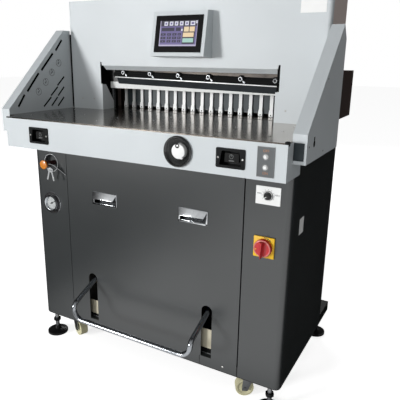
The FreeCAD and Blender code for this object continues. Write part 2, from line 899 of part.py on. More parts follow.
def guideBeam():
    # The fixed cross beam. Two slanted slots in its front steer the knife rollers.
    tilt = math.radians(D.knifeRestTilt.value)
    leftX = D.rollerX - D.rollerSpread * math.cos(tilt)
    leftZ = D.rollerZ + D.rollerSpread * math.sin(tilt)
    lowX = D.rollerX - D.knifeSide
    lowZ = D.rollerZ - D.knifeDrop
    body = doc.addObject("PartDesign::Body", "Beam")
    outline = newSketch(body, "XZ_Plane")
    half = D.frameHalf
    drawPolygon(outline, [(-half, D.beamBottom), (half, D.beamBottom), (half, D.beamTop),
                          (-half, D.beamTop)])
    pad = body.newObject("PartDesign::Pad", "Pad")
    pad.Profile = outline
    pad.Reversed = True
    bind(pad, "Length", D.beamRear - D.beamFront)
    doc.recompute()
    solidVolume = body.Shape.Volume
    slots = newSketch(body, "XZ_Plane")
    drawSlot(slots, (lowX, lowZ), (D.rollerX, D.rollerZ), D.rollerRadius + 0.5)
    drawSlot(slots, (lowX - D.rollerSpread, lowZ), (leftX, leftZ), D.rollerRadius + 0.7)
    pocket = body.newObject("PartDesign::Pocket", "Slots")
    pocket.Profile = slots
    bind(pocket, "Length", D.beamSlotDeep)
    body.Tip = pocket
    doc.recompute()
    if body.Shape.Volume > solidVolume - 1:
        raise RuntimeError("the beam's slots cut nothing")
    place(body, 0, D.beamFront, 0)
    finish("guide_beam", body)


def frontTable():
    # The cast table: wide in front of the gantry, narrower between the side frames.
    broad = box((-D.tableHalf, D.tableHalf), (D.tableFront, D.wideTableRear),
                (tableUnder, D.tableTop))
    tongue = box((-D.frameHalf, D.frameHalf), (D.wideTableRear, D.frontTableRear),
                 (tableUnder, D.tableTop))
    groove = box((-D.stickHalf, D.stickHalf), (D.stickFront, D.stickRear),
                 (D.tableTop - D.stickDeep, D.tableTop + 1))
    # In front of the left wing the table ends where the bar does.
    notch = box((-D.tableHalf - 1, D.barLeft), (D.tableFront - 1, D.wingFront),
                (tableUnder - 1, D.tableTop + 1))
    tools = [groove, notch]
    for side in (-1, 1):
        tools.append(rod("z", (side * D.clampRodX, D.clampRodY), tableUnder - 1, D.tableTop + 1,
                         D.clampRodRadius + 1))
    tools.append(box((D.pullRodX - D.pullBarHalf - 1, D.pullRodX + D.pullBarHalf + 1),
                     (D.pullBarFront - 1, D.pullBarRear + 1), (tableUnder - 1, D.tableTop + 1)))
    tools.append(rod("z", (D.pullRodX, (D.pullBarFront + D.pullBarRear) / 2), tableUnder - 1,
                     D.tableTop + 1, D.pullShaftRadius + 1))
    tools.append(rod("y", (D.handwheelX, D.handwheelZ), D.tableFront - 1,
                     D.barFront + D.handwheelDeep + 2, D.handwheelRadius - 3))
    for x, y in jetSpots():
        tools.append(rod("z", (x, y), tableUnder - 1, D.tableTop + 1, D.jetRadius + 0.02))
    finish("front_table", cut(fuse(broad, tongue), *tools))


def jetSpots():
    spotsXY = []
    for row in range(JETS_Y):
        for column in range(JETS_X):
            spotsXY.append((D.jetFirstX + column * D.jetPitchX, D.jetFirstY + row * D.jetPitchY))
    return spotsXY


def airJets():
    # Ball valves let into the table, which float the paper on air.
    jets = [rod("z", spot, tableUnder, D.tableTop, D.jetRadius) for spot in jetSpots()]
    finish("air_jets", group(*jets))


def cuttingStick():
    finish("cutting_stick", box((-D.stickHalf, D.stickHalf), (D.stickFront, D.stickRear),
                                (D.tableTop - D.stickDeep, D.tableTop)))


def rearTable():
    # The rear half of the table, slotted for the gauge, with lugs that hold its rails.
    plate = box((-D.rearTableHalf, D.rearTableHalf), (D.frontTableRear, D.rearTableEnd),
                (tableUnder, D.tableTop))
    slot = box((-D.tableSlotHalf, D.tableSlotHalf), (D.frontTableRear + 6, D.tableSlotRear),
               (tableUnder - 1, D.tableTop + 1))
    low = D.railZ - D.railRadius - D.railWall
    reach = D.railX + D.railLugMargin
    lugs = [box((-reach, reach), (D.frontTableRear, D.frontTableRear + D.railLugThick),
                (low, tableUnder)),
            box((-reach, reach), (D.tableSlotRear, D.tableSlotRear + D.railLugThick),
                (low, tableUnder))]
    bores = [rod("y", (side * D.railX, D.railZ), D.frontTableRear - 1, D.rearTableEnd,
                 D.railRadius + 0.02) for side in (-1, 0, 1)]
    bores[1] = rod("y", (0, D.railZ), D.frontTableRear - 1, D.rearTableEnd,
                   D.screwRadius + D.runningFit)
    finish("rear_table", cut(fuse(plate, *lugs), slot, *bores))


def frontBar():
    # The folded bar under the table's front edge, which carries the controls.
    outer = box((D.barLeft, D.barRight), (D.barFront, 0), (D.barBottom, D.barTop))
    hollow = box((D.barLeft + wall, D.barRight - wall), (D.barFront + wall, wall),
                 (D.barBottom + wall, D.barTop + 1))
    sideClear = box((D.barRight - 2 * wall, D.barRight + 1), (D.barReturnRear, 2 * wall),
                    (D.barBottom - 1, D.barTop + 1))
    wingClear = box((D.barRight - 2 * wall, D.barRight + 1), (D.wingFront - 1, 2 * wall),
                    (D.wingBottom - 1, D.barTop + 1))
    tableClear = box((D.barLeft - 1, D.barRight - wall), (D.tableFront, wall),
                     (tableUnder, D.barTop + 1))
    tools = [hollow, sideClear, wingClear, tableClear]
    for x in (D.housingLeftX, D.housingRightX):
        tools.append(box((x - D.wellBottomHalf - 3, x + D.wellBottomHalf + 3),
                         (D.barFront - 1, D.barFront + 2 * wall),
                         (D.housingZ - D.wellHalfHigh - 2.5, D.housingZ + D.wellHalfHigh + 2.5)))
    for z in (D.offZ, D.onZ):
        tools.append(rod("y", (D.switchButtonX, z), D.barFront - 1, D.barFront + 2 * wall,
                         D.buttonRadius + 1))
    tools.append(rod("y", (D.handwheelX, D.handwheelZ), D.barFront - 1, D.barFront + 2 * wall,
                     D.handwheelRadius - 3))
    finish("front_bar", cut(outer, *tools))


def wellOutline(x, grow):
    return [(x - D.wellBottomHalf - grow, D.housingZ - D.wellHalfHigh - grow),
            (x + D.wellBottomHalf + grow, D.housingZ - D.wellHalfHigh - grow),
            (x + D.wellTopHalf + grow, D.housingZ + D.wellHalfHigh + grow),
            (x - D.wellTopHalf - grow, D.housingZ + D.wellHalfHigh + grow)]


def buttonHousings():
    # Two plates with a deep well each, so that a two-hand button can't be leaned on.
    housings = []
    for x in (D.housingLeftX, D.housingRightX):
        front = D.barFront - D.housingThick
        half = D.housingWide / 2
        low = D.housingZ - D.housingHigh / 2
        high = D.housingZ + D.housingHigh / 2
        corners = [(x - half, low), (x + half, low), (x + half, high), (x - half, high)]
        plate = extruded("XZ_Plane", corners, front, D.barFront, rounds=[(corners, 4)])
        well = extruded("XZ_Plane", wellOutline(x, 2), front, D.barFront + D.wellDeep + 1.5)
        hollow = extruded("XZ_Plane", wellOutline(x, 0), front - 1, D.barFront + D.wellDeep)
        bore = rod("y", (x, D.housingZ), D.barFront, D.barFront + D.wellDeep + 3,
                   D.pushStem + D.runningFit)
        housings.append(cut(fuse(plate, well), hollow, bore))
    finish("button_housings", group(*housings))


def pushButtons():
    # The two-hand cut buttons, each with a stem at the back.
    for label, x in (("left_push_button", D.housingLeftX), ("right_push_button", D.housingRightX)):
        corners = [(x - D.pushHalfWide, D.housingZ - D.pushHalfHigh),
                   (x + D.pushHalfWide, D.housingZ - D.pushHalfHigh),
                   (x + D.pushHalfWide, D.housingZ + D.pushHalfHigh),
                   (x - D.pushHalfWide, D.housingZ + D.pushHalfHigh)]
        button = extruded("XZ_Plane", corners, D.pushFront, D.pushFront + D.pushThick,
                          rounds=[(corners, 3)])
        stem = rod("y", (x, D.housingZ), D.pushFront + D.pushThick / 2,
                   D.pushFront + D.pushStemLong, D.pushStem)
        finish(label, fuse(button, stem))


def switchPlate():
    # The plate with the ON and OFF buttons.
    half = D.plateWide / 2
    plate = box((D.plateMiddleX - half, D.plateMiddleX + half), (D.barFront - 2, D.barFront),
                (D.plateMiddleZ - D.plateHigh / 2, D.plateMiddleZ + D.plateHigh / 2))
    holes = [rod("y", (D.switchButtonX, z), D.barFront - 3, D.barFront + 1,
                 D.buttonRadius + 0.4) for z in (D.offZ, D.onZ)]
    finish("switch_plate", cut(plate, *holes))
    for label, z in (("off_button", D.offZ), ("on_button", D.onZ)):
        spot = (D.switchButtonX, z)
        front = D.barFront - D.buttonFront
        stem = rod("y", spot, front, D.barFront + D.buttonStem, D.buttonRadius)
        dome = cone("y", spot, front - D.buttonDome, front, D.buttonRadius - D.buttonDome,
                    D.buttonRadius)
        finish(label, fuse(stem, dome))


def handwheel():
    # A dished wheel let into the bar: a rim, a bowl and a hub level with the rim.
    spot = (D.handwheelX, D.handwheelZ)
    front = D.handwheelFront
    back = D.barFront + D.handwheelDeep
    rim = rod("y", spot, front, D.barFront - 1, D.handwheelRadius)
    bowl = rod("y", spot, D.barFront - 1, back, D.handwheelRadius - 4)
    web = back - D.handwheelWeb
    dish = cone("y", spot, front, web, D.handwheelRadius - 5, D.handwheelHub + 6)
    hub = rod("y", spot, front + 1, web, D.handwheelHub)
    shaft = rod("y", spot, back, back + D.handwheelShaftLong, D.handwheelShaft)
    finish("handwheel", fuse(cut(fuse(rim, bowl), dish), hub, shaft))


def wing(label, side, holes, slots, window):
    # A folded side wing: an inner and an outer wall joined by a front strip, open at
    # the bottom and the rear.
    low = D.tableHalf
    high = D.wingOuter
    profile = [(D.wingFront, D.wingBottom), (D.wingRear, D.wingBottom), (D.wingRear, D.wingCutZ),
               (D.wingTopY, D.wingTopZ), (D.wingFront, D.wingKneeZ)]
    inside = [(D.wingFront + wall, D.wingBottom - wall), (D.wingRear + wall, D.wingBottom - wall),
              (D.wingRear + wall, D.wingCutZ), (D.wingTopY + 1, D.wingTopZ - 4),
              (D.wingFront + wall, D.wingKneeZ - 1)]
    spans = [(low, high), (low + wall, high - wall)]
    if side < 0:
        spans = [mirrored(*span, 0) for span in spans]
    solid = extruded("YZ_Plane", profile, *spans[0])
    hollow = extruded("YZ_Plane", inside, *spans[1])
    tools = [hollow]
    if holes or slots:
        wallSpan = (spans[0][1] - 1.5 * wall, spans[0][1] + wall)
        cutter = doc.addObject("PartDesign::Body", "Openings")
        sketch = newSketch(cutter, "YZ_Plane")
        for spot, radius in holes:
            drawCircle(sketch, spot, radius)
        for start, end, radius in slots:
            drawSlot(sketch, start, end, radius)
        pad = cutter.newObject("PartDesign::Pad", "Pad")
        pad.Profile = sketch
        bind(pad, "Length", wallSpan[1] - wallSpan[0])
        place(cutter, wallSpan[0], 0, 0)
        tools.append(cutter)
    if window:
        tools.append(box(window[0], (D.wingFront - 1, D.wingFront + 2 * wall), window[1]))
    finish(label, cut(solid, *tools))


def wings():
    # The left wing is pierced on its table side: four round holes and nine slots.
    rounds = [((55.2, 945.7), 3.5), ((92.7, 978.5), 3.5), ((126.6, 1012.5), 3.5),
              ((164.3, 1046.1), 3.5)]
    longSlots = [((-41.2, 902.0), (-14.7, 935.4)), ((4.5, 952.0), (58.0, 1007.9)),
                 ((78.0, 1023.2), (133.8, 1077.2)), ((154.8, 1093.3), (184.3, 1126.0))]
    shortSlots = [((154.0, 965.8), (187.0, 993.1)), ((117.5, 930.0), (149.8, 956.6)),
                  ((154.2, 927.8), (184.0, 955.0)), ((78.5, 892.7), (113.4, 920.8)),
                  ((117.5, 892.2), (146.6, 918.8)), ((150.9, 889.6), (180.8, 916.6))]
    slots = [(low, high, 4.2) for low, high in longSlots]
    slots += [(low, high, 3.2) for low, high in shortSlots]
    wing("left_wing", -1, rounds, slots, None)
    window = ((D.wingOuter - 33.5, D.wingOuter - 6), (D.wingBottom + 8.7, D.wingBottom + 54))
    wing("right_wing", 1, (), (), window)


def frontCover():
    # The gantry's front sheet, with rounded edges, the stepped mouth, the folded lip
    # over the knife and the cheek beside the clamp.
    left = D.gantryLeft
    right = D.gantryRight
    front = D.gantryFront
    plan = [(left, front), (right, front), (right, D.coverReturn), (right - wall, D.coverReturn),
            (right - wall, front + wall), (left + wall, front + wall),
            (left + wall, D.coverReturn), (left, D.coverReturn)]
    shell = extruded("XY_Plane", plan, D.tableTop, D.gantryTop,
                     rounds=[([(left, front), (right, front)], D.coverCorner),
                             ([(left + wall, front + wall), (right - wall, front + wall)],
                              D.coverCorner - wall)])
    crown = box((left + D.coverCorner, right - D.coverCorner), (front, D.coverReturn),
                (D.gantryTop - wall, D.gantryTop))
    mouth = extruded(
        "XZ_Plane",
        [(D.mouthLeft, D.tableTop - 1), (D.mouthRight, D.tableTop - 1),
         (D.mouthRight, D.mouthStepRight), (D.mouthSlitRight, D.mouthStepRight),
         (D.mouthSlitRight, D.mouthSlitTop), (D.mouthSlitRight - 6, D.mouthSlitTop),
         (D.mouthSlitRight - 8, D.lipFold), (D.mouthSlitLeft + 7, D.lipFold),
         (D.mouthSlitLeft + 5, D.mouthSlitTop), (D.mouthSlitLeft, D.mouthSlitTop),
         (D.mouthSlitLeft, D.mouthStepLeft), (D.mouthLeft, D.mouthStepLeft)],
        front - 1, front + 2 * wall)
    lip = extruded("YZ_Plane", [(front, D.lipFold), (D.lipRear, D.lipBottom),
                                (D.lipRear + 1, D.lipBottom + 2), (front + wall, D.lipFold + 1.5),
                                (front, D.lipFold + 1.5)],
                   D.mouthSlitLeft + 14, D.mouthSlitRight - 10)
    cheek = extruded("YZ_Plane", [(front, D.tableTop), (D.cheekRearBottom, D.tableTop),
                                  (D.cheekRearBottom, D.cheekKnee),
                                  (D.cheekRearTop, D.mouthStepLeft - 2),
                                  (front, D.mouthStepLeft - 2)],
                     D.mouthLeft - wall, D.mouthLeft)
    finish("front_cover", fuse(cut(fuse(shell, crown), mouth), lip, cheek))


def gantryHood():
    # Sides, top and rear of the gantry in one hood, open where the gauge passes.
    left = D.gantryLeft + D.hoodInset
    right = D.gantryRight - D.hoodInset
    outer = box((left, right), (D.coverReturn, D.gantryRear), (D.gantryBottom, D.gantryTop))
    inner = box((left + wall, right - wall), (D.coverReturn - 1, D.gantryRear - wall),
                (D.gantryBottom - 1, D.gantryTop - wall))
    passage = box((-D.guardHalf - 1, D.guardHalf + 1), (D.gantryRear - 2 * wall, D.gantryRear + 1),
                  (D.gantryBottom - 1, D.guardHighFront + 6))
    # Below the table only the hood's sides hang down, outside the cabinet's side walls.
    skirt = box((left + wall, right - wall), (D.gantryRear - 2 * wall, D.gantryRear + 1),
                (D.gantryBottom - 1, tableUnder))
    finish("gantry_hood", cut(outer, inner, passage, skirt))


def consoleParts():
    # The wedge-shaped console and the touch screen let into its sloping face.
    points = [(D.gantryFront, D.consoleRootLow), (D.gantryFront, D.consoleRootHigh),
              (D.consoleHeadY, D.consoleHeadZ), (D.consoleFootY, D.consoleFootZ)]
    solid = extruded("YZ_Plane", points, D.consoleLeft, D.consoleRight)
    inside = extruded("YZ_Plane",
                      [(D.gantryFront + 1, D.consoleRootLow + 3),
                       (D.gantryFront + 1, D.consoleRootHigh - 3),
                       (D.consoleHeadY + 12, D.consoleHeadZ - 3),
                       (D.consoleFootY + 12, D.consoleFootZ + 3)],
                      D.consoleLeft + wall, D.consoleRight - wall)
    slope = (D.consoleHeadY - D.consoleFootY) / (D.consoleHeadZ - D.consoleFootZ)
    low = D.consoleFootZ + D.screenInset
    high = D.consoleHeadZ - D.screenInset
    lowY = D.consoleFootY + slope * D.screenInset
    highY = D.consoleHeadY - slope * D.screenInset
    # The recess runs back square to the sloping face, and the screen fills most of it.
    drop = D.screenRecess * slope
    recess = [(lowY - wall, low), (highY - wall, high),
              (highY - wall + D.screenRecess, high - drop),
              (lowY - wall + D.screenRecess, low - drop)]
    room = D.screenRoom
    front = 0.5 - wall
    rear = D.screenRecess - 2 * wall
    rise = (rear - front) * slope
    screen = [(lowY + front, low + room), (highY + front, high - 2 * room),
              (highY + rear, high - 2 * room - rise), (lowY + rear, low + room - rise)]
    opening = extruded("YZ_Plane", recess, D.consoleLeft + D.screenInset,
                       D.consoleRight - D.screenInset)
    finish("console_body", cut(solid, inside, opening))
    finish("touch_screen", extruded("YZ_Plane", screen, D.consoleLeft + D.screenInset,
                                    D.consoleRight - D.screenInset))


def clamp():
    # The clamp beam with an ear at each end, and the rods that pull it down.
    bar = box((D.clampLeft, D.clampRight), (D.clampFront, D.clampRear),
              (D.clampBottom, D.clampTop))
    reach = D.clampRodX + D.clampEarReach
    ears = box((-reach, reach), (D.clampRodY - D.clampEarHalf, D.clampRodY + D.clampEarHalf),
               (D.clampEarBottom, D.clampTop))
    seat = D.clampTop - D.clampRodSeat
    bores = [rod("z", (side * D.clampRodX, D.clampRodY), D.clampEarBottom - 1, seat,
                 D.clampRodRadius) for side in (-1, 1)]
    finish("clamp_beam", cut(fuse(bar, ears), *bores))
    rods = []
    for side in (-1, 1):
        centre = (side * D.clampRodX, D.clampRodY)
        low = D.cylinderBottom + D.clampPistonLow
        shaft = rod("z", centre, low + 1, seat, D.clampRodRadius)
        piston = rod("z", centre, low, low + D.pistonThick, D.cylinderBore - D.runningFit)
        rods.append(fuse(shaft, piston))
    finish("clamp_rods", group(*rods))


def hydraulicCylinders():
    # Two clamp cylinders and the knife cylinder, under the table.
    cylinders = []
    stations = [(-D.clampRodX, D.clampRodY, D.clampRodRadius),
                (D.clampRodX, D.clampRodY, D.clampRodRadius),
                (D.pullRodX, (D.pullBarFront + D.pullBarRear) / 2, D.pullShaftRadius)]
    for x, y, radius in stations:
        tube = rod("z", (x, y), D.cylinderBottom, D.cylinderTop, D.cylinderRadius)
        gland = D.cylinderTop - D.cylinderGland
        cavity = rod("z", (x, y), D.cylinderBottom + D.cylinderCap, gland, D.cylinderBore)
        gland = rod("z", (x, y), gland - 1, D.cylinderTop + 1, radius + D.runningFit)
        cylinders.append(cut(tube, cavity, gland))
    finish("hydraulic_cylinders", group(*cylinders))


def knifePullRod():
    # The knife cylinder's rod, a flat bar behind the cover and the pin that draws the
    # carrier down while the carrier slides sideways.
    middle = (D.pullBarFront + D.pullBarRear) / 2
    tilt = math.radians(D.knifeRestTilt.value)
    pinZ = D.rollerZ + D.pullRodZ * math.cos(tilt) - (D.pullRodX - D.rollerX) * math.tan(tilt)
    bar = box((D.pullRodX - D.pullBarHalf, D.pullRodX + D.pullBarHalf),
              (D.pullBarFront, D.pullBarRear), (D.pullBarBottom, pinZ + 16))
    low = D.cylinderBottom + D.knifePistonLow
    shaft = rod("z", (D.pullRodX, middle), low + 1, D.pullBarBottom, D.pullShaftRadius)
    piston = rod("z", (D.pullRodX, middle), low, low + D.pistonThick,
                 D.cylinderBore - D.runningFit)
    bolt = rod("y", (D.pullRodX, pinZ), D.pullBarFront, D.knifeFront - 0.5, D.pullRodPin)
    finish("knife_pull_rod", fuse(bar, shaft, piston, bolt))


def tilted(item):
    # Knife pieces are drawn level about the right-hand roller, then tilted to rest.
    turn = FreeCAD.Rotation(Y_AXIS, D.knifeRestTilt.value)
    place(item, D.rollerX, 0, D.rollerZ, turn)
    return item


def boltSpots():
    return [D.boltFirst + number * D.boltPitch for number in range(BOLTS)]


def knifeParts():
    # The carrier with its lip, bosses and left-hand roller.
    plate = box((D.carrierLeft, D.carrierRight), (D.carrierFront, D.knifeFront),
                (D.carrierBottom, D.carrierHigh))
    slotEnd = box((D.carrierRight - 1, D.carrierRight + 10), (D.carrierFront, D.knifeFront),
                  (D.pullRodZ - 20, D.carrierHigh))
    ears = [box((x - D.carrierEarHalf, x + D.carrierEarHalf), (D.carrierFront, D.knifeFront),
                (D.carrierHigh - 5, D.carrierEarTop)) for x in (0, -D.rollerSpread)]
    lip = box((D.carrierLeft, D.carrierRight), (D.lipFront, D.carrierFront),
              (D.carrierBottom, D.carrierStep))
    bosses = [rod("y", (x, D.boltZ), D.lipFront, D.carrierFront, D.boltBoss)
              for x in boltSpots()]
    roller = rod("y", (-D.rollerSpread, 0), D.beamFront + 1, D.beamFront + D.beamSlotDeep - 2,
                 D.rollerRadius)
    stub = rod("y", (-D.rollerSpread, 0), D.carrierFront, D.beamFront + 2, D.rollerPin)
    solid = fuse(plate, slotEnd, *ears, lip, *bosses, roller, stub)
    tools = [rod("y", (0, 0), D.lipFront, D.knifeFront + 1, D.rollerPin + D.runningFit)]
    for x in boltSpots():
        tools.append(rod("y", (x, D.boltZ), D.lipFront - 1, D.knifeFront + 1, D.boltShank))
    pinStart = D.pullRodX - D.rollerX
    pinEnd = pinStart + D.knifeSide
    tools.append(box((pinStart, pinEnd), (D.lipFront, D.knifeFront + 1),
                     (D.pullRodZ - D.pullSlotHalf, D.pullRodZ + D.pullSlotHalf)))
    for x in (pinStart, pinEnd):
        tools.append(rod("y", (x, D.pullRodZ), D.lipFront, D.knifeFront + 1, D.pullSlotHalf))
    finish("knife_carrier", tilted(cut(solid, *tools)))

    rear = D.knifeFront + D.knifeThick
    profile = [(rear, -D.knifeEdge), (rear, D.knifeHigh - D.knifeEdge),
               (D.knifeFront, D.knifeHigh - D.knifeEdge), (D.knifeFront, D.knifeBevel - D.knifeEdge)]
    blade = extruded("YZ_Plane", profile, D.knifeLeft, D.knifeRight)
    holes = [rod("y", (x, D.boltZ), D.knifeFront - 1, rear + 1, D.boltShank)
             for x in boltSpots()]
    finish("knife", tilted(cut(blade, *holes)))

    bolts = []
    for x in boltSpots():
        front = D.lipFront - D.boltHeadThick
        head = rod("y", (x, D.boltZ), front, D.lipFront, D.boltHead)
        shank = rod("y", (x, D.boltZ), D.lipFront, rear, D.boltShank)
        socket = doc.addObject("Part::Prism", "Socket")
        socket.Polygon = 6
        bind(socket, "Circumradius", D.socketRadius)
        bind(socket, "Height", D.socketDeep)
        place(socket, x, front, D.boltZ, TURNS["y"])
        bolts.append(cut(fuse(head, shank), socket))
    finish("knife_bolts", tilted(group(*bolts)))

    spot = (D.rollerX, D.rollerZ)
    disc = rod("y", spot, D.beamFront + 1, D.beamFront + D.beamSlotDeep - 2, D.rollerRadius)
    axle = rod("y", spot, D.carrierFront - 2, D.beamFront + 2, D.rollerPin)
    finish("knife_guide_roller", fuse(disc, axle))


def backGauge():
    # The gauge: a comb of fingers on a plate, and the carriage that runs on two rails.
    near = D.fingerFirst - D.combMargin
    far = D.fingerFirst + (FINGERS - 1) * D.fingerPitch + D.combMargin
    plate = box((near, far), (D.gaugeBack - D.combPlate, D.gaugeBack),
                (D.tableTop + D.combPlateLow, D.fingerTop))
    footTop = D.tableTop + D.fingerFootTop
    flareTop = D.tableTop + D.fingerFlareTop
    flare = D.fingerHalf + D.fingerFlare
    fingers = []
    for number in range(FINGERS):
        x = D.fingerFirst + number * D.fingerPitch
        fingers.append(box((x - D.fingerHalf, x + D.fingerHalf), (D.gaugeFace, D.gaugeBack),
                           (D.tableTop + 1, D.fingerTop)))
        fingers.append(extruded(
            "XZ_Plane",
            [(x - flare, D.tableTop + 1), (x + flare, D.tableTop + 1), (x + flare, footTop),
             (x + D.fingerHalf, flareTop), (x - D.fingerHalf, flareTop), (x - flare, footTop)],
            D.gaugeFace - D.fingerFootFront, D.gaugeBack))
    saddle = box((-D.saddleHalf, D.saddleHalf), (D.gaugeBack, D.carriageRear),
                 (D.tableTop + 1, D.tableTop + D.saddleHigh))
    neck = box((1 - D.tableSlotHalf, D.tableSlotHalf - 1), (D.gaugeBack, D.carriageRear),
               (tableUnder - 2, D.tableTop + 2))
    reach = D.railX + D.runnerMargin
    runner = box((-reach, reach), (D.gaugeBack, D.carriageRear),
                 (D.railZ - D.railRadius - D.railWall, tableUnder - 1))
    bores = [rod("y", (side * D.railX, D.railZ), D.gaugeBack - 1, D.carriageRear + 1,
                 D.railRadius + D.runningFit) for side in (-1, 1)]
    bores.append(rod("y", (0, D.railZ), D.gaugeBack - 1, D.carriageRear + 1,
                     D.screwRadius + D.runningFit))
    finish("back_gauge", cut(fuse(plate, *fingers, saddle, neck, runner), *bores))


def gaugeDrive():
    # Two rails, the lead screw between them and the motor with its belt case.
    rear = D.tableSlotRear + D.railLugThick
    rails = [rod("y", (side * D.railX, D.railZ), D.frontTableRear, rear, D.railRadius)
             for side in (-1, 1)]
    finish("gauge_rails", group(*rails))
    finish("lead_screw", rod("y", (0, D.railZ), D.frontTableRear - 13, rear, D.screwRadius))
    case = box((-D.beltCaseHalf, D.beltCaseHalf), (D.frontTableRear - 15, D.frontTableRear - 1),
               (D.beltCaseBottom, tableUnder))
    bore = rod("y", (0, D.railZ), D.frontTableRear - 13.5, D.frontTableRear,
               D.screwRadius + D.runningFit)
    motor = rod("y", (0, D.gaugeMotorZ), D.frontTableRear - 1,
                D.frontTableRear + D.gaugeMotorLong, D.beltCaseHalf)
    finish("gauge_motor", cut(fuse(case, motor), bore))


def rearHousing():
    # The dark housing round the rear table, and its lid, which swings on a long pin.
    rimFront = D.guardHighFront - D.lidThick - D.lidGap
    rimRear = D.guardHighRear - D.lidThick - D.lidGap
    side = [(D.guardFront, D.guardBottom), (D.guardRear, D.guardBottom),
            (D.guardRear, rimRear), (D.guardFront, rimFront)]
    half = D.guardHalf
    solid = extruded("YZ_Plane", side, -half, half)
    inside = box((wall - half, half - wall), (D.guardFront - 1, D.guardRear - wall),
                 (D.guardBottom + wall, D.guardHighFront + 10))
    flanges = []
    for span in ((half - wall, half + D.guardFlange), (-half - D.guardFlange, wall - half)):
        flanges.append(box(span, (D.guardFront, D.guardFront + wall), (tableUnder, rimFront - 2)))
    hinge = (D.guardFront + D.lidHingeBack, D.guardHighFront - D.lidThick - D.lidHingeRadius)
    pivot = rod("x", hinge, wall / 2 - half, half - wall / 2, D.lidPinRadius)
    finish("rear_guard", fuse(cut(solid, inside), *flanges, pivot))
    front = D.guardFront + 1
    top = [(front, D.guardHighFront - D.lidThick), (front, D.guardHighFront),
           (D.guardRear, D.guardHighRear), (D.guardRear, D.guardHighRear - D.lidThick)]
    plate = extruded("YZ_Plane", top, -half, half)
    # Its front corners are cut back, because they dip between the walls as it opens.
    corners = [box(span, (D.guardFront, D.guardFront + D.lidNotchLong),
                   (rimRear, D.guardHighFront + 1))
               for span in ((half - D.lidNotch, half + 1), (-half - 1, D.lidNotch - half))]
    knuckle = rod("x", hinge, 10 - half, half - 10, D.lidHingeRadius)
    bore = rod("x", hinge, 9 - half, half - 9, D.lidPinRadius + D.runningFit)
    finish("rear_lid", cut(fuse(plate, knuckle), bore, *corners))


def hydraulicUnit():
    # Oil tank with its motor, pump and valve block.
    tank = box((D.tankLeft, D.tankRight), (D.tankFront, D.tankRear), (D.baseTop, D.tankTop))
    motor = rod("z", (D.pumpX, D.pumpY), D.tankTop, D.pumpTop, D.pumpRadius)
    foot = rod("z", (D.pumpX, D.pumpY), D.tankTop, D.tankTop + D.pumpFootHigh, D.pumpFoot)
    valves = box((D.valveBlockLeft, D.valveBlockRight), (D.valveBlockFront, D.valveBlockRear),
                 (D.tankTop, D.valveBlockTop))
    filler = rod("z", (D.fillerX, D.fillerY), D.tankTop, D.tankTop + D.fillerRadius,
                 D.fillerRadius)
    finish("hydraulic_unit", fuse(tank, motor, foot, valves, filler))


def airBlower():
    # The blower that feeds the table's air jets.
    spot = (D.blowerY, D.blowerZ)
    casing = rod("x", spot, D.blowerLeft, D.blowerRight, D.blowerRadius)
    outlet = box((D.blowerLeft, D.blowerOutletRight), (D.blowerY, D.blowerOutletRear),
                 (D.blowerZ, D.blowerOutletTop))
    motor = rod("x", spot, D.blowerRight, D.blowerMotorRight, D.blowerMotorRadius)
    stand = box((D.blowerLeft + 10, D.blowerStandRight),
                (D.blowerY - D.blowerStandHalf, D.blowerY + D.blowerStandHalf),
                (D.baseTop, D.blowerStandTop))
    finish("air_blower", fuse(casing, outlet, motor, stand))


def controlBox():
    # The electrical box on its stand-offs.
    case = box((D.controlLeft, D.controlRight), (D.controlFront, D.controlRear),
               (D.controlBottom, D.controlTop))
    leg = D.controlLeg
    legs = [box((x, x + leg), (D.controlLegFront, D.controlLegFront + leg),
                (D.baseTop, D.controlBottom))
            for x in (D.controlLeft + leg, D.controlRight - 2 * leg)]
    finish("control_box", fuse(case, *legs))


def knobParts():
    # The pressure knob on its plate: a skirt, a grip and a raised mark.
    spot = (D.knobX, D.knobZ)
    half = D.knobPlateWide / 2
    plate = box((D.knobX - half, D.knobX + half), (-D.knobPlateThick, 0),
                (D.knobZ - D.knobPlateHigh / 2, D.knobZ + D.knobPlateHigh / 2))
    bore = rod("y", spot, -2 * D.knobPlateThick, 1, D.knobShaft)
    finish("knob_plate", cut(plate, bore))
    skirt = rod("y", spot, D.knobSkirtFront, D.knobSkirtRear, D.knobSkirt)
    grip = rod("y", spot, D.knobFront, D.knobSkirtFront, D.knobRadius)
    shaft = rod("y", spot, D.knobSkirtRear, D.knobShaftRear, D.knobShaft - D.runningFit)
    mark = box((D.knobX - D.knobMarkHalf, D.knobX + D.knobMarkHalf),
               (D.knobFront - 0.6, D.knobFront + 1), (D.knobZ, D.knobZ + D.knobRadius - 1))
    finish("pressure_knob", fuse(skirt, grip, shaft, mark))


def mainSwitch():
    # The main switch: a thick plate, and a disc with a grip that comes to a point below.
    spot = (D.switchX, D.switchZ)
    half = D.switchPlateSide / 2
    plate = box((D.switchX - half, D.switchX + half), (-D.switchPlateThick, 0),
                (D.switchZ - half, D.switchZ + half))
    bore = rod("y", spot, -D.switchPlateThick - 1, 1, D.switchShaft)
    finish("main_switch_plate", cut(plate, bore))
    disc = rod("y", spot, D.switchDiscFront, D.switchDiscRear, D.switchDiscRadius)
    shaft = rod("y", spot, D.switchDiscRear, D.switchShaftRear, D.switchShaft - D.runningFit)
    side = D.switchGripHalf
    high = D.switchZ + D.switchGripReach
    low = D.switchZ - D.switchGripReach
    grip = extruded("XZ_Plane",
                    [(D.switchX - side, high), (D.switchX + side, high),
                     (D.switchX + side, low + side), (D.switchX, low),
                     (D.switchX - side, low + side)],
                    D.switchGripFront, D.switchDiscFront)
    finish("switch_handle", fuse(disc, shaft, grip))


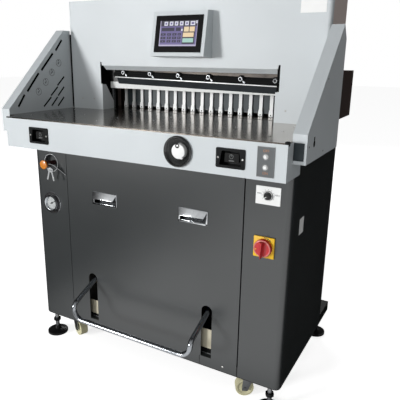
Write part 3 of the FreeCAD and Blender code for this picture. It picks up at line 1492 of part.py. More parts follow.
def valveKnob():
    spot = (D.valveX, D.valveZ)
    stem = rod("y", spot, D.valveBodyRear, D.valveStemRear, D.valveStem)
    body = rod("y", spot, D.valveCapRear, D.valveBodyRear, D.valveBody)
    cap = rod("y", spot, D.valveCapFront, D.valveCapRear, D.valveCap)
    finish("valve_knob", fuse(stem, body, cap))


def gaugeParts():
    # The pressure gauge let into the left column, and its needle.
    spot = (D.gaugeX, D.gaugeZ)
    inner = D.gaugeBoxRadius - D.gaugeBoxWall
    flange = rod("y", spot, -D.gaugeFlange, 0, D.gaugeRadius)
    ring = rod("y", spot, D.gaugeRingFront, -D.gaugeFlange, D.gaugeBoxRadius)
    back = rod("y", spot, 0, D.gaugeBoxRear, inner)
    hollow = rod("y", spot, D.gaugeRingFront - 1, D.gaugeDialFront, inner)
    finish("pressure_gauge", cut(fuse(flange, ring, back), hollow))
    hub = rod("y", (0, 0), D.needleFront, D.gaugeDialFront - 0.5, D.needleHub)
    pointer = box((-D.needleHalf, D.needleHalf), (D.needleFront + 0.5, D.needleFront + 1.5),
                  (-D.needleTail, D.gaugeDialRadius - 3))
    needle = fuse(hub, pointer)
    place(needle, D.gaugeX, 0, D.gaugeZ, FreeCAD.Rotation(Y_AXIS, D.needleAngle.value))
    finish("gauge_needle", needle)


def pedalPoints():
    # The centre line of the pedal's tube from the left arm's root to the right one's.
    left = D.pedalLeft.value
    right = D.pedalRight.value
    root = (D.pedalShaftY.value, D.pedalRootZ.value)
    bend = (D.pedalBendY.value, D.pedalBendZ.value)
    bar = (D.pedalBarY.value, D.pedalBarZ.value)
    return [FreeCAD.Vector(left, *root), FreeCAD.Vector(left, *bend), FreeCAD.Vector(left, *bar),
            FreeCAD.Vector(right, *bar), FreeCAD.Vector(right, *bend), FreeCAD.Vector(right, *root)]


def footPedal():
    # One bent tube on a cross shaft that turns in two brackets.
    points = pedalPoints()
    upper = D.pedalBendRadius.value
    lower = D.pedalBarRadius.value
    wire = roundedPath(points, [upper, lower, lower, upper])
    radius = D.pedalTube.value
    start = (points[1] - points[0]).normalize()
    ring = Part.Wire([Part.Circle(points[0], start, radius).toShape()])
    tube = Part.Wire(wire).makePipeShell([ring], True, False)
    expected = math.pi * radius ** 2 * Part.Wire(wire).Length
    print("pedal tube volume %.0f, section times length %.0f" % (tube.Volume, expected))
    arms = doc.addObject("Part::Feature", "PedalTube")
    arms.Shape = tube
    centre = (D.pedalShaftY, D.pedalShaftZ)
    left = D.pedalLeft - D.pedalEnd
    right = D.pedalRight + D.pedalEnd
    shaft = rod("x", centre, left, right, D.pedalShaftRadius)
    ends = [rod("x", centre, left - D.pedalEndLong, left, D.pedalEndRadius),
            rod("x", centre, right, right + D.pedalEndLong, D.pedalEndRadius)]
    finish("foot_pedal", fuse(arms, shaft, *ends))
    near = D.pedalBracketGap
    far = D.pedalBracketGap + D.pedalBracket
    brackets = []
    for low, high in ((left - far, left - near), (right + near, right + far)):
        post = box((low, high),
                   (D.pedalShaftY - D.pedalBracketFront, D.pedalShaftY + D.pedalBracketRear),
                   (D.baseTop, D.pedalShaftZ + D.pedalBracketTop))
        bore = rod("x", centre, low - 1, high + 1, D.pedalEndRadius + D.runningFit)
        brackets.append(cut(post, bore))
    finish("pedal_brackets", group(*brackets))


def roundedPath(points, radii):
    # Straight runs joined by tangent arcs, as the edges of one wire.
    edges = []
    start = points[0]
    for index, radius in enumerate(radii, start=1):
        corner = points[index]
        back = (points[index - 1] - corner).normalize()
        ahead = (points[index + 1] - corner).normalize()
        halfAngle = back.getAngle(ahead) / 2
        reach = radius / math.tan(halfAngle)
        bisector = (back + ahead).normalize()
        centre = corner + bisector * (radius / math.sin(halfAngle))
        middle = centre - bisector * radius
        near = corner + back * reach
        far = corner + ahead * reach
        edges.append(Part.LineSegment(start, near).toShape())
        edges.append(Part.Arc(near, middle, far).toShape())
        start = far
    edges.append(Part.LineSegment(start, points[-1]).toShape())
    return edges


def build():
    baseFrame()
    levellingFeet()
    casters()
    columnPanel("left_column_panel", -1, [(D.valveX, D.valveZ, D.valveHoleRadius),
                                          (D.gaugeX, D.gaugeZ, D.gaugeBoxRadius - 3)])
    columnPanel("right_column_panel", 1, [(D.knobX, D.knobZ, 6), (D.switchX, D.switchZ, 8)])
    frontPanel()
    rearPanel()
    panelPulls()
    sideFrames()
    guideBeam()
    frontTable()
    airJets()
    cuttingStick()
    rearTable()
    frontBar()
    buttonHousings()
    pushButtons()
    switchPlate()
    handwheel()
    wings()
    frontCover()
    gantryHood()
    consoleParts()
    clamp()
    hydraulicCylinders()
    knifePullRod()
    knifeParts()
    backGauge()
    gaugeDrive()
    rearHousing()
    hydraulicUnit()
    airBlower()
    controlBox()
    knobParts()
    mainSwitch()
    valveKnob()
    gaugeParts()
    footPedal()


def checkAndExport():
    doc.recompute()
    for item in doc.Objects:
        if "Invalid" in item.State or "Error" in item.State:
            raise RuntimeError("%s (%s) didn't recompute" % (item.Label, item.Name))
    for item in subparts:
        if item.Shape.isNull() or not item.Shape.isValid():
            raise RuntimeError(item.Label + " has no valid shape")
    for item in subparts:
        item.Shape.exportStep("parts/%s.step" % item.Label)
        bounds = item.Shape.BoundBox
        print("%-22s solids %2d  volume %9.0f  x %7.1f %7.1f  y %7.1f %7.1f  z %7.1f %7.1f" % (
            item.Label, len(item.Shape.Solids), item.Shape.Volume, bounds.XMin, bounds.XMax,
            bounds.YMin, bounds.YMax, bounds.ZMin, bounds.ZMax))
    print(len(subparts), "sub-parts")


build()
checkAndExport()
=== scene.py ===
import math

import bmesh
import bpy
from mathutils import Matrix, Vector


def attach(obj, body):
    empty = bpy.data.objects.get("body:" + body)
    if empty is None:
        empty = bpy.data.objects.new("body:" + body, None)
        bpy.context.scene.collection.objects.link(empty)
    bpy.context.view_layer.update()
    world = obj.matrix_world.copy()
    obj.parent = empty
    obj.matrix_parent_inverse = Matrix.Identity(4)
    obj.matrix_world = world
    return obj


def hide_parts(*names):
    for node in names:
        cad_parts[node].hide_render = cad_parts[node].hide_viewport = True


# Programmable paper cutter: graphite cabinet, iron table, slanting knife, touch console, foot pedal.
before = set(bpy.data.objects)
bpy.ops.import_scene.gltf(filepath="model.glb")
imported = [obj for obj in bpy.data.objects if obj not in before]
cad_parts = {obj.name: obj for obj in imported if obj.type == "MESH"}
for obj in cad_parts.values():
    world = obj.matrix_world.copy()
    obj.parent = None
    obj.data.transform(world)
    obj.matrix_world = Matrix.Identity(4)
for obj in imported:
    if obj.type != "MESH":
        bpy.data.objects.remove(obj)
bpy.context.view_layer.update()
scene = bpy.context.scene
scene.view_settings.view_transform = "Standard"
print("frame loaded:", len(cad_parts), "nodes")

depthMiddle = 467  # the cabinet's front face stands this far in front of the origin
oneTurn = 2 * math.pi
front, rightward, upward = (0, -1, 0), (1, 0, 0), (0, 0, 1)  # the operator is at the front


def at(x, depth, z):
    # Millimetres, with depth counted from the cabinet's front face, to the frame.
    return Vector((x, depth - depthMiddle, z)) / 1000


def srgb(code):
    # A hex colour as the renderer's linear values.
    values = [int(code[i:i + 2], 16) / 255 for i in (1, 3, 5)]
    return tuple(v / 12.92 if v <= 0.04045 else ((v + 0.055) / 1.055) ** 2.4 for v in values) + (1,)


def addNode(tree, kind, settings=None, links=None):
    # Adds a node with its settings, its inputs linked to sockets or other nodes' first outputs.
    node = tree.nodes.new("ShaderNode" + kind)
    for key, value in (settings or {}).items():
        if isinstance(key, str) and hasattr(node, key) and key not in node.inputs:
            setattr(node, key, value)
        else:
            node.inputs[key].default_value = value
    for key, source in (links or {}).items():
        tree.links.new(getattr(source, "outputs", [source])[0], node.inputs[key])
    return node


def startFinish(name, settings):
    material = bpy.data.materials.new(name)
    material.use_nodes = True
    tree = material.node_tree
    shader = tree.nodes["Principled BSDF"]
    for key, value in settings.items():
        shader.inputs[key].default_value = value
    return material, tree, shader, addNode(tree, "TexCoord").outputs["Object"]


# Finishes: each grain has its real size in millimetres, or is drawn coarser where a note says so.

def joinFinish(tree, shader, colours, blend, rough, fine, strength, deep):
    # Blends two colours, and lets a fine pattern drive the roughness and the relief.
    light, dark = colours
    tone = addNode(tree, "Mix", {"data_type": "RGBA", 6: srgb(dark), 7: srgb(light)}, {0: blend})
    skin = addNode(tree, "MapRange", {"To Min": rough[0], "To Max": rough[1]}, {"Value": fine})
    relief = addNode(tree, "Bump", {"Strength": strength, "Distance": deep / 1000}, {"Height": fine})
    tree.links.new(tone.outputs[2], shader.inputs["Base Color"])
    tree.links.new(skin.outputs[0], shader.inputs["Roughness"])
    tree.links.new(relief.outputs[0], shader.inputs["Normal"])


paint = {
    "cloud": 260,  # how far apart the faint patches of tone lie on a wide panel
    "peel": 3,  # orange peel is about 1 mm across, drawn at 3 mm so that it shows
    "peelDeep": 0.15,
}


def paintFinish(name, light, dark, roughness=0.5, texture=0.2, gloss=0.4):
    # Powder coat, baked polyester on steel sheet: an even satin skin whose fine orange
    # peel breaks up the sheen on the wide panels.
    material, tree, shader, where = startFinish(name, {"Specular IOR Level": gloss})
    broad = addNode(tree, "TexNoise", {"Scale": 1000 / paint["cloud"], "Detail": 2}, {"Vector": where})
    fine = addNode(tree, "TexNoise", {"Scale": 1000 / paint["peel"], "Detail": 2}, {"Vector": where})
    spread = addNode(tree, "MapRange", {"From Min": 0.3, "From Max": 0.7}, {"Value": broad})
    joinFinish(tree, shader, (light, dark), spread, (roughness - 0.05, roughness + 0.06),
               fine, texture, paint["peelDeep"])
    return material


plastic = {
    "flow": 22,  # faint flow marks of the moulding
    "grain": 2.5,  # spark-eroded grain is about 0.3 mm, drawn at 2.5 mm
    "grainDeep": 0.08,
}


def plasticFinish(name, light, dark, roughness=0.45, gloss=0.5, texture=0.12, coat=0):
    # Moulded or lacquered part: one even colour with a slight mottle and a soft highlight.
    material, tree, shader, where = startFinish(
        name, {"Specular IOR Level": gloss, "Coat Weight": coat, "Coat Roughness": 0.1})
    flow = addNode(tree, "TexNoise", {"Scale": 1000 / plastic["flow"], "Detail": 3}, {"Vector": where})
    fine = addNode(tree, "TexNoise", {"Scale": 1000 / plastic["grain"], "Detail": 2}, {"Vector": where})
    joinFinish(tree, shader, (light, dark), flow, (roughness - 0.05, roughness + 0.08),
               fine, texture, plastic["grainDeep"])
    return material


metal = {"cloud": 60, "scratchDeep": 0.05}


def metalFinish(name, light, dark, roughness=0.2, along=(1, 1, 1), scratch=2, marks=0.1, metallic=1):
    # Ground, brushed or plated metal: parallel scratches, drawn about ten times their real
    # pitch, that pull the highlights out across the grinding.
    material, tree, shader, where = startFinish(name, {"Metallic": metallic})
    drawn = addNode(tree, "Mapping", {"Scale": along}, {"Vector": where})
    lines = addNode(tree, "TexNoise", {"Scale": 1000 / scratch, "Detail": 4}, {"Vector": drawn})
    clouds = addNode(tree, "TexNoise", {"Scale": 1000 / metal["cloud"], "Detail": 3}, {"Vector": where})
    both = addNode(tree, "Math", {"operation": "ADD"}, {0: lines, 1: clouds})
    spread = addNode(tree, "MapRange", {"From Min": 0.7, "From Max": 1.3}, {"Value": both})
    joinFinish(tree, shader, (light, dark), spread, (roughness * 0.7, roughness * 1.4),
               lines, marks, metal["scratchDeep"])
    return material


glow = {"cell": 1.5}  # the cells are 0.2 mm apart, drawn at 1.5 mm


def glowFinish(name, code, dim):
    # Lit display cells behind glass.
    material, tree, shader, where = startFinish(
        name, {"Base Color": (0, 0, 0, 1), "Roughness": 0.3, "Emission Strength": 1})
    cells = addNode(tree, "TexNoise", {"Scale": 1000 / glow["cell"], "Detail": 1}, {"Vector": where})
    tone = addNode(tree, "Mix", {"data_type": "RGBA", 6: srgb(dim), 7: srgb(code)}, {0: cells})
    tree.links.new(tone.outputs[2], shader.inputs["Emission Color"])
    return material


def addSecondColour(base, name, direction, limit, second, metallic=None, soft=0.00001):
    # A copy of a finish that takes a second colour past a limit in metres along a direction.
    material = base.copy()
    material.name = name
    tree = material.node_tree
    shader = tree.nodes["Principled BSDF"]
    reach = addNode(tree, "VectorMath", {"operation": "DOT_PRODUCT", 1: direction},
                    {0: addNode(tree, "TexCoord").outputs["Object"]})
    past = addNode(tree, "MapRange", {"From Min": limit - soft, "From Max": limit + soft},
                   {"Value": reach.outputs["Value"]})
    first = shader.inputs["Base Color"].links[0].from_socket
    tone = addNode(tree, "Mix", {"data_type": "RGBA", 7: srgb(second)}, {0: past, 6: first})
    tree.links.new(tone.outputs[2], shader.inputs["Base Color"])
    if metallic is not None:
        start = shader.inputs["Metallic"].default_value
        shine = addNode(tree, "MapRange", {"To Min": start, "To Max": metallic}, {"Value": past})
        tree.links.new(shine.outputs[0], shader.inputs["Metallic"])
    return material


lightPaint = paintFinish("powderCoatLightGrey", "#c6cccf", "#c0c6c9", 0.46, 0.15, 0.5)
hoodPaint = paintFinish("powderCoatWarmGrey", "#cdbfba", "#c4b6b1", 0.55)
cabinetPaint = paintFinish("powderCoatGraphite", "#303334", "#2b2e2f", 0.3, 0.2, 0.7)
basePaint = paintFinish("stoveEnamelBlack", "#1a1a1b", "#131314", 0.45)
guardPaint = paintFinish("stoveEnamelBrownBlack", "#4b3d39", "#3b302d", 0.5)
frameIron = paintFinish("primerOnCasting", "#232425", "#18191a", 0.6, 0.5, 0.3)
clampPaint = paintFinish("enamelOnCastClamp", "#d7d9d8", "#cccfce", 0.4)
oilPaint = paintFinish("enamelCream", "#cfc8b2", "#c4bda7", 0.45)
ribPaint = paintFinish("enamelWhiteRibs", "#f2f4f4", "#e8ebeb", 0.35)
tableIron = metalFinish("groundCastIron", "#c2b8ae", "#aba198", 0.17, (1, 0.12, 1), 2.4, 0.04)
brightSteel = metalFinish("groundSteel", "#c8c8c6", "#a9a8a5", 0.3, (0.1, 1, 1), 1.6)
bladeSteel = metalFinish("hardenedBlade", "#3b4146", "#2d3236", 0.42, (1, 1, 0.15), 1.8, 0.1, 0.55)
# The blade's edge strip is near white with little metal: partly the polished edge, partly a painted
# highlight along it.
edgeSteel = metalFinish("bladeEdgePaintedHighlight", "#f2f3f3", "#dfe1e1", 0.35, (0.1, 1, 1), 2, 0.05, 0.2)
chrome = metalFinish("chromePlate", "#c9ccce", "#b8bbbe", 0.13, (1, 1, 1), 6, 0.02)
# A darker copy of the chrome for the pedal's tube: painted shade, standing for the dark reflections along
# it.
tubeChrome = metalFinish("chromePlateShadedCopy", "#93969a", "#7f8286", 0.15, (1, 1, 1), 6, 0.02)
# A dark copy of the chrome: in the pull trays and the rings round the air jets its darkness is painted
# shade of the recesses.
darkChrome = metalFinish("darkChromeAndRecessShade", "#4a4c4e", "#36383a", 0.25, (1, 1, 1), 3, 0.05)
blackPlastic = plasticFinish("absBlack", "#101112", "#0a0b0c", 0.42, 0.35)
buttonPlastic = plasticFinish("absBlackSatin", "#090a0a", "#050606", 0.3, 0.18)
blackOxide = plasticFinish("blackOxideSteel", "#141516", "#0c0d0e", 0.4, 0.4)
glossBlack = plasticFinish("phenolicGlossBlack", "#0f1011", "#090a0b", 0.28, 0.35, 0.03, 0.1)
wheelPlastic = plasticFinish("nylonGlossCharcoal", "#17191a", "#101213", 0.24, 0.6, 0.03, 0.25)
housingPlastic = plasticFinish("absCharcoal", "#0e1011", "#090b0c", 0.3, 0.15)
greyPlate = plasticFinish("anodisedGreyPlate", "#54585a", "#4d5153", 0.45)
stripGrey = plasticFinish("anodisedSlateStrip", "#3a4246", "#32393d", 0.45, 0.3)
wellGrey = plasticFinish("paintedWellGrey", "#30383c", "#2a3135", 0.5, 0.3)
whitePlate = plasticFinish("lacquerWhite", "#eeefee", "#e6e7e6", 0.4)
yellowPlastic = plasticFinish("absYellow", "#eec01c", "#e0b010", 0.4)
redPlastic = plasticFinish("absRed", "#c4141f", "#ad1019", 0.3, 0.5, 0.04, 0.2)
pinkRim = plasticFinish("absRedRimPaintedHighlight", "#df8a86", "#d2736f", 0.38)
orangePlastic = plasticFinish("polishedAbsOrange", "#d98527", "#c8741d", 0.3, 0.5, 0.03, 0.3)
maroonPlastic = plasticFinish("phenolicMaroon", "#3a1313", "#260c0c", 0.3, 0.5, 0.03, 0.3)
nylon = plasticFinish("castNylonCream", "#d9d5b4", "#cbc69f", 0.5)
stickPlastic = plasticFinish("hdpeCuttingStick", "#3a3432", "#2e2927", 0.5)
# Black rubber look, also used for the painted shade in the slots at the ribs' feet.
rubberAndShadeBlack = plasticFinish("blackRubberAndSlotShade", "#151516", "#0f0f10", 0.75, 0.25, 0.4)
sleeveBlue = plasticFinish("enamelBlue", "#2038b8", "#162a92", 0.25, 0.6, 0.03, 0.5)
markInk = plasticFinish("printedInkDark", "#3a3d40", "#2f3235", 0.5)
amberInk = plasticFinish("printedInkAmber", "#a9744f", "#98663f", 0.55)
# Silver print; on the pedal slots' sills it is the painted highlight of their lit lower edge.
silverInkAndEdgeHighlight = plasticFinish("printedInkSilverAndEdgeHighlight", "#77797a", "#67696a", 0.45)
dialFace = plasticFinish("lacquerDial", "#b9bdbd", "#a9adad", 0.4)
bezelGlass = plasticFinish("backPrintedGlass", "#0b0b0c", "#070708", 0.16, 0.15, 0)
# Black for dark seams and a rail, and for painted shade: the sheets behind the wing's slots, the discs in
# its holes and the slit beside the mouth stand for the shade inside them.
shadeAndSeamBlack = plasticFinish("blackSeamsAndPaintedShade", "#0a0b0c", "#060707", 0.8, 0.1, 0.3)
zinc = metalFinish("brightZinc", "#8f9193", "#76787a", 0.32, (1, 1, 1), 3)
keySteel = metalFinish("nickelSilver", "#d8dadb", "#b9bcbe", 0.3, (1, 1, 1), 3, 0.1, 0.7)
# Ground steel drawn brown: the brown is a painted reflection on the carrier's bare face.
carrierSteel = metalFinish("groundSteelBrownReflection", "#5b544d", "#241f1c", 0.45, (0.25, 1, 1), 5, 0.3, 0.4)
carrierBlack = paintFinish("blackeningOnSteel", "#0d0e0e", "#080909", 0.7, 0.3, 0.1)

# Pieces that the photo shows in two tones, each split at a height, a depth or a side in metres.
# The clamp turns black above the knife's line: painted shade of the dark upper part of the mouth.
clampFinish = addSecondColour(clampPaint, "clampPaintedShadeAbove", (0, 0, 1), 0.9790, "#0b0b0c")
gaugeFinish = addSecondColour(ribPaint, "enamelRibsGreyBehind", (0, 1, 0), at(0, 369.5, 0).y, "#42484b")
# The ribs turn black below the table's top: painted shade where they run down into the table's slots.
gaugeFinish = addSecondColour(gaugeFinish, "ribsPaintedShadeBelowTable", (0, 0, -1), -0.8757, "#0d0d0e")
pedalFinish = addSecondColour(tubeChrome, "chromeAndBlueShaft", (0, 1, 0), at(0, 28, 0).y, "#1a2f9a", 0.3)
# The table turns darker towards the left: painted shade, standing for the dimmer light and reflection
# there.
tableFinish = addSecondColour(tableIron, "groundCastIronShadedLeft", (-1, 0, 0), 0.24, "#645e58", soft=0.2)
footSteel = addSecondColour(zinc, "zincStemDarkNut", (0, 0, 1), 0.0499, "#2c2d2e", 0.6)
footSteel = addSecondColour(footSteel, "zincStemAboveNut", (0, 0, 1), 0.0611, "#9a9c9e", 1)
footFinish = addSecondColour(footSteel, "zincStemRubberPad", (0, 0, -1), -0.0271, "#121213", 0)

nodeFinishes = [
    (basePaint, "base_frame air_blower"), (footFinish, "levelling_feet"), (tableFinish, "front_table"),
    (zinc, "caster_fork_front_left caster_fork_front_right rear_caster_forks hydraulic_cylinders"),
    (nylon, "caster_wheel_front_left caster_wheel_front_right caster_wheel_rear_left"),
    (nylon, "caster_wheel_rear_right"), (chrome, "panel_pulls pressure_gauge"), (tableIron, "rear_table"),
    (cabinetPaint, "left_column_panel right_column_panel front_panel rear_panel"),
    (frameIron, "side_frames guide_beam gauge_motor pedal_brackets"), (greyPlate, "switch_plate"),
    (brightSteel, "air_jets gauge_rails lead_screw knife_pull_rod knife_guide_roller"),
    (lightPaint, "front_bar left_wing right_wing front_cover console_body"), (hoodPaint, "gantry_hood"),
    (housingPlastic, "button_housings"), (stickPlastic, "cutting_stick"), (bezelGlass, "touch_screen"),
    (guardPaint, "rear_guard rear_lid"), (oilPaint, "hydraulic_unit control_box"), (bladeSteel, "knife"),
    (carrierBlack, "knife_carrier"), (blackOxide, "knife_bolts"), (clampFinish, "clamp_beam"),
    (darkChrome, "clamp_rods"), (gaugeFinish, "back_gauge"), (pedalFinish, "foot_pedal"),
    (wheelPlastic, "handwheel"), (buttonPlastic, "left_push_button right_push_button"),
    (whitePlate, "on_button off_button knob_plate"), (glossBlack, "pressure_knob"),
    (yellowPlastic, "main_switch_plate"), (redPlastic, "switch_handle"), (orangePlastic, "valve_knob"),
    (blackPlastic, "gauge_needle"),
]
dressed = [(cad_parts[name], finish) for finish, names in nodeFinishes for name in names.split()]
for node, finish in dressed:
    node.data.materials.clear()
    node.data.materials.append(finish)
print("finishes set:", len(dressed))


def addObject(name, data):
    made = bpy.data.objects.new(name, data)
    scene.collection.objects.link(made)
    return made


def placePiece(mesh, name, finish, body):
    # Gives a mesh its finish or list of finishes, and lets it ride a body.
    for material in finish if isinstance(finish, list) else [finish]:
        mesh.materials.append(material)
    piece = addObject(name, mesh)
    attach(piece, body)
    return piece


def finishPiece(bm, name, finish, body="machine"):
    # Turns a bmesh whose vertices are already in place into a piece.
    bmesh.ops.remove_doubles(bm, verts=bm.verts, dist=0.00001)
    bmesh.ops.recalc_face_normals(bm, faces=bm.faces)
    mesh = bpy.data.meshes.new(name)
    bm.to_mesh(mesh)
    bm.free()
    mesh.shade_smooth()
    mesh.set_sharp_from_angle(angle=math.radians(40))
    return placePiece(mesh, name, finish, body)


def roundEdges(bm, verts, radius, segments):
    edges = list({edge for vert in verts for edge in vert.link_edges})
    return bmesh.ops.bevel(bm, geom=edges, offset=radius / 1000, segments=segments,
                           affect="EDGES", profile=0.5, material=-1)["verts"]


def addBlock(bm, low, high, radius=0, segments=2, material=0, turn=None):
    # A block between two corners in millimetres, its edges rounded, turned about its middle by
    # an angle about an axis.
    first, last = at(*low), at(*high)
    size = [max(abs(v), 1e-6) for v in (last - first)]
    place = Matrix.Translation((first + last) / 2)
    if turn:
        place = place @ Matrix.Rotation(turn[0], 4, turn[1])
    verts = bmesh.ops.create_cube(bm, size=1, matrix=place @ Matrix.Diagonal((*size, 1)))["verts"]
    if radius:
        verts = roundEdges(bm, verts, radius, segments)
    for face in {face for vert in verts for face in vert.link_faces}:
        face.material_index = material
    return verts


def spinProfile(bm, profile, centre, steps=48, material=0, axis=front):
    # Turns a profile of (radius, height) points in millimetres about an axis.
    axis = Vector(axis).normalized()
    turn = Vector((0, 0, 1)).rotation_difference(axis).to_matrix().to_4x4()
    place = Matrix.Translation(at(*centre)) @ turn
    verts = [bm.verts.new(place @ (Vector((r, 0, h)) / 1000)) for r, h in profile]
    edges = [bm.edges.new(pair) for pair in zip(verts, verts[1:])]
    before = set(bm.faces)
    bmesh.ops.spin(bm, geom=verts + edges, cent=at(*centre), axis=axis, angle=oneTurn,
                   steps=steps, use_merge=True)
    for face in set(bm.faces) - before:
        face.material_index = material


def addRing(bm, centre, inner, outer, high, steps=40, axis=front):
    # A low ring with a rounded top, standing on its centre's plane.
    edge = min(high, outer - inner) * 0.35
    spinProfile(bm, [(inner, -0.15), (outer, -0.15), (outer, high - edge), (outer - edge, high),
                     (inner + edge, high), (inner, high - edge), (inner, -0.15)],
                centre, steps, 0, axis)


def addScrew(bm, x, depth, z, radius, axis=front):
    # A domed screw head, 0.6 of its radius high.
    spinProfile(bm, [(0, -0.2), (radius, -0.2), (radius * 0.96, radius * 0.3),
                     (radius * 0.7, radius * 0.52), (radius * 0.3, radius * 0.6), (0, radius * 0.6)],
                (x, depth, z), 20, 0, axis)


def addTick(bm, x, depth, z, degrees, wide, long, reach):
    # A thin printed bar set on a circle about x and z, its length along the radius.
    angle = math.radians(degrees)
    spot = (x + reach * math.sin(angle), z + reach * math.cos(angle))
    addBlock(bm, (spot[0] - wide / 2, depth - 0.12, spot[1] - long / 2),
             (spot[0] + wide / 2, depth + 0.12, spot[1] + long / 2), 0.05, 1, 0, (angle, "Y"))


def pieceFromCurve(curve, move, finish, body):
    # Turns lettering or a wire into a mesh piece.
    holder = addObject(curve.name + "Curve", curve)
    bpy.context.view_layer.update()
    seen = holder.evaluated_get(bpy.context.evaluated_depsgraph_get())
    mesh = bpy.data.meshes.new_from_object(seen)
    bpy.data.objects.remove(holder)
    mesh.transform(move)
    mesh.name = curve.name
    placePiece(mesh, curve.name, finish, body)
    return mesh


def placeText(words, height, centre, finish, name):
    # Printed lettering of a height in millimetres on a surface that faces the operator.
    curve = bpy.data.curves.new(name, "FONT")
    curve.body = words
    curve.size = height / 1000 * 1.4
    curve.align_x = curve.align_y = "CENTER"
    curve.extrude = 0.12 / 1000
    upright = Matrix.Translation(at(*centre)) @ Matrix.Rotation(math.pi / 2, 4, "X")
    pieceFromCurve(curve, upright, finish, "machine")


def bendWire(name, middle, points, radius, finish, body, closed=False):
    # A stiff round wire through a few points about a middle.
    curve = bpy.data.curves.new(name, "CURVE")
    curve.dimensions = "3D"
    curve.bevel_depth = radius / 1000
    curve.bevel_resolution = 3
    curve.resolution_u = 10
    curve.use_fill_caps = True
    spline = curve.splines.new("NURBS")
    spline.points.add(len(points) - 1)
    for point, spot in zip(spline.points, points):
        point.co = (*at(*(Vector(middle) + Vector(spot))), 1)
    spline.order_u = 3
    spline.use_cyclic_u = closed
    spline.use_endpoint_u = not closed
    pieceFromCurve(curve, Matrix.Identity(4), finish, body).shade_smooth()


# Touch console: the picture on its display is generic keys and fields.

screen = {
    "foot": (170, 1073.8), "head": (196.6, 1215),  # depth and height of the sloping face
    "left": -56.4, "right": 81.6, "low": 1108, "high": 1185.3,  # the lit part
    "proud": 1.62,  # how far the glass stands in front of the sheet along Y
    "colours": [("displayViolet", "#6a6094", "#5d5486"), ("displayPale", "#b8b2cc", "#a8a2be"),
                ("displayIcon", "#dfe0ea", "#c9cada"), ("displayInk", "#1d1838", "#17132e"),
                ("displayYellow", "#e6d3b0", "#dcc69e"), ("displayPeach", "#ead2ac", "#dfc49a"),
                ("displayGreen", "#a4cdc2", "#94c0b3"), ("displayBand", "#262038", "#1e192e")],
    # left, right, top and bottom as fractions of the lit part, colour, and lift off the glass
    "fields": [(-0.012, 1, 0, 1.03, 1, 0.05), (0.008, 0.99, 0, 0.97, 0, 0.2),
               (0.008, 0.99, 0, 0.225, 7, 0.3), (0.62, 0.95, 0.235, 0.945, 7, 0.3),
               (0.955, 0.99, 0.02, 0.13, 2, 0.42), (0.575, 0.615, 0.34, 0.42, 2, 0.42),
               (0.035, 0.39, 0.28, 0.42, 3, 0.42), (0.43, 0.565, 0.28, 0.42, 3, 0.42),
               (0.65, 0.78, 0.255, 0.45, 4, 0.42), (0.8, 0.935, 0.255, 0.45, 5, 0.42),
               (0.635, 0.92, 0.49, 0.665, 5, 0.42), (0.635, 0.92, 0.715, 0.88, 6, 0.42)],
    # left and right of the icons and the keys, and top and bottom of the rows of keys
    "icons": [(0.1, 0.2), (0.245, 0.345), (0.385, 0.48), (0.525, 0.62), (0.665, 0.765), (0.81, 0.935)],
    "keyColumns": [(0.02, 0.16), (0.2, 0.31), (0.345, 0.46), (0.49, 0.58)],
    "keyRows": [(0.505, 0.6), (0.645, 0.745), (0.785, 0.88)],
}


def buildScreen():
    foot, head = screen["foot"], screen["head"]
    lean = math.atan2(head[0] - foot[0], head[1] - foot[1])
    wide, high = screen["right"] - screen["left"], screen["high"] - screen["low"]
    bm = bmesh.new()

    def patch(left, right, top, bottom, finish, lift):
        z = screen["high"] - (top + bottom) / 2 * high
        depth = foot[0] + (z - foot[1]) * math.tan(lean) - screen["proud"] - lift
        tall = (bottom - top) * high / math.cos(lean)
        addBlock(bm, (screen["left"] + left * wide, depth - 0.1, z - tall / 2),
                 (screen["left"] + right * wide, depth + 0.1, z + tall / 2),
                 0.08, 1, finish, (-lean, "X"))

    for field in screen["fields"]:
        patch(*field)
    for left, right in screen["icons"]:
        patch(left, right, 0.035, 0.2, 2, 0.42)
        patch(left + 0.028, right - 0.028, 0.08, 0.155, 0, 0.5)
    for top, bottom in screen["keyRows"]:
        for left, right in screen["keyColumns"]:
            middle = (left + right) / 2
            patch(left, right, top, bottom, 3, 0.35)
            patch(middle - 0.018, middle + 0.012, top + 0.03, bottom - 0.03, 0, 0.45)
    finishes = [glowFinish(*colours) for colours in screen["colours"]]
    finishPiece(bm, "displayPicture", finishes)


buildScreen()
print("console done")

# Handwheel: rolled rim, deep conical bowl, white hub cap and a small crank seat.

wheel = {
    "x": 198.4, "z": 825.7, "rim": 43, "front": 136, "back": 129, "bowl": 112,
    "hub": 20, "hubFront": 129,
    # the crank seat's ring and the slot below it, from the wheel's centre
    "seat": (-2, 15), "seatRing": (3.4, 6.4, 1.1), "slot": ((-9, 11.6), (3, 13.8)),
}


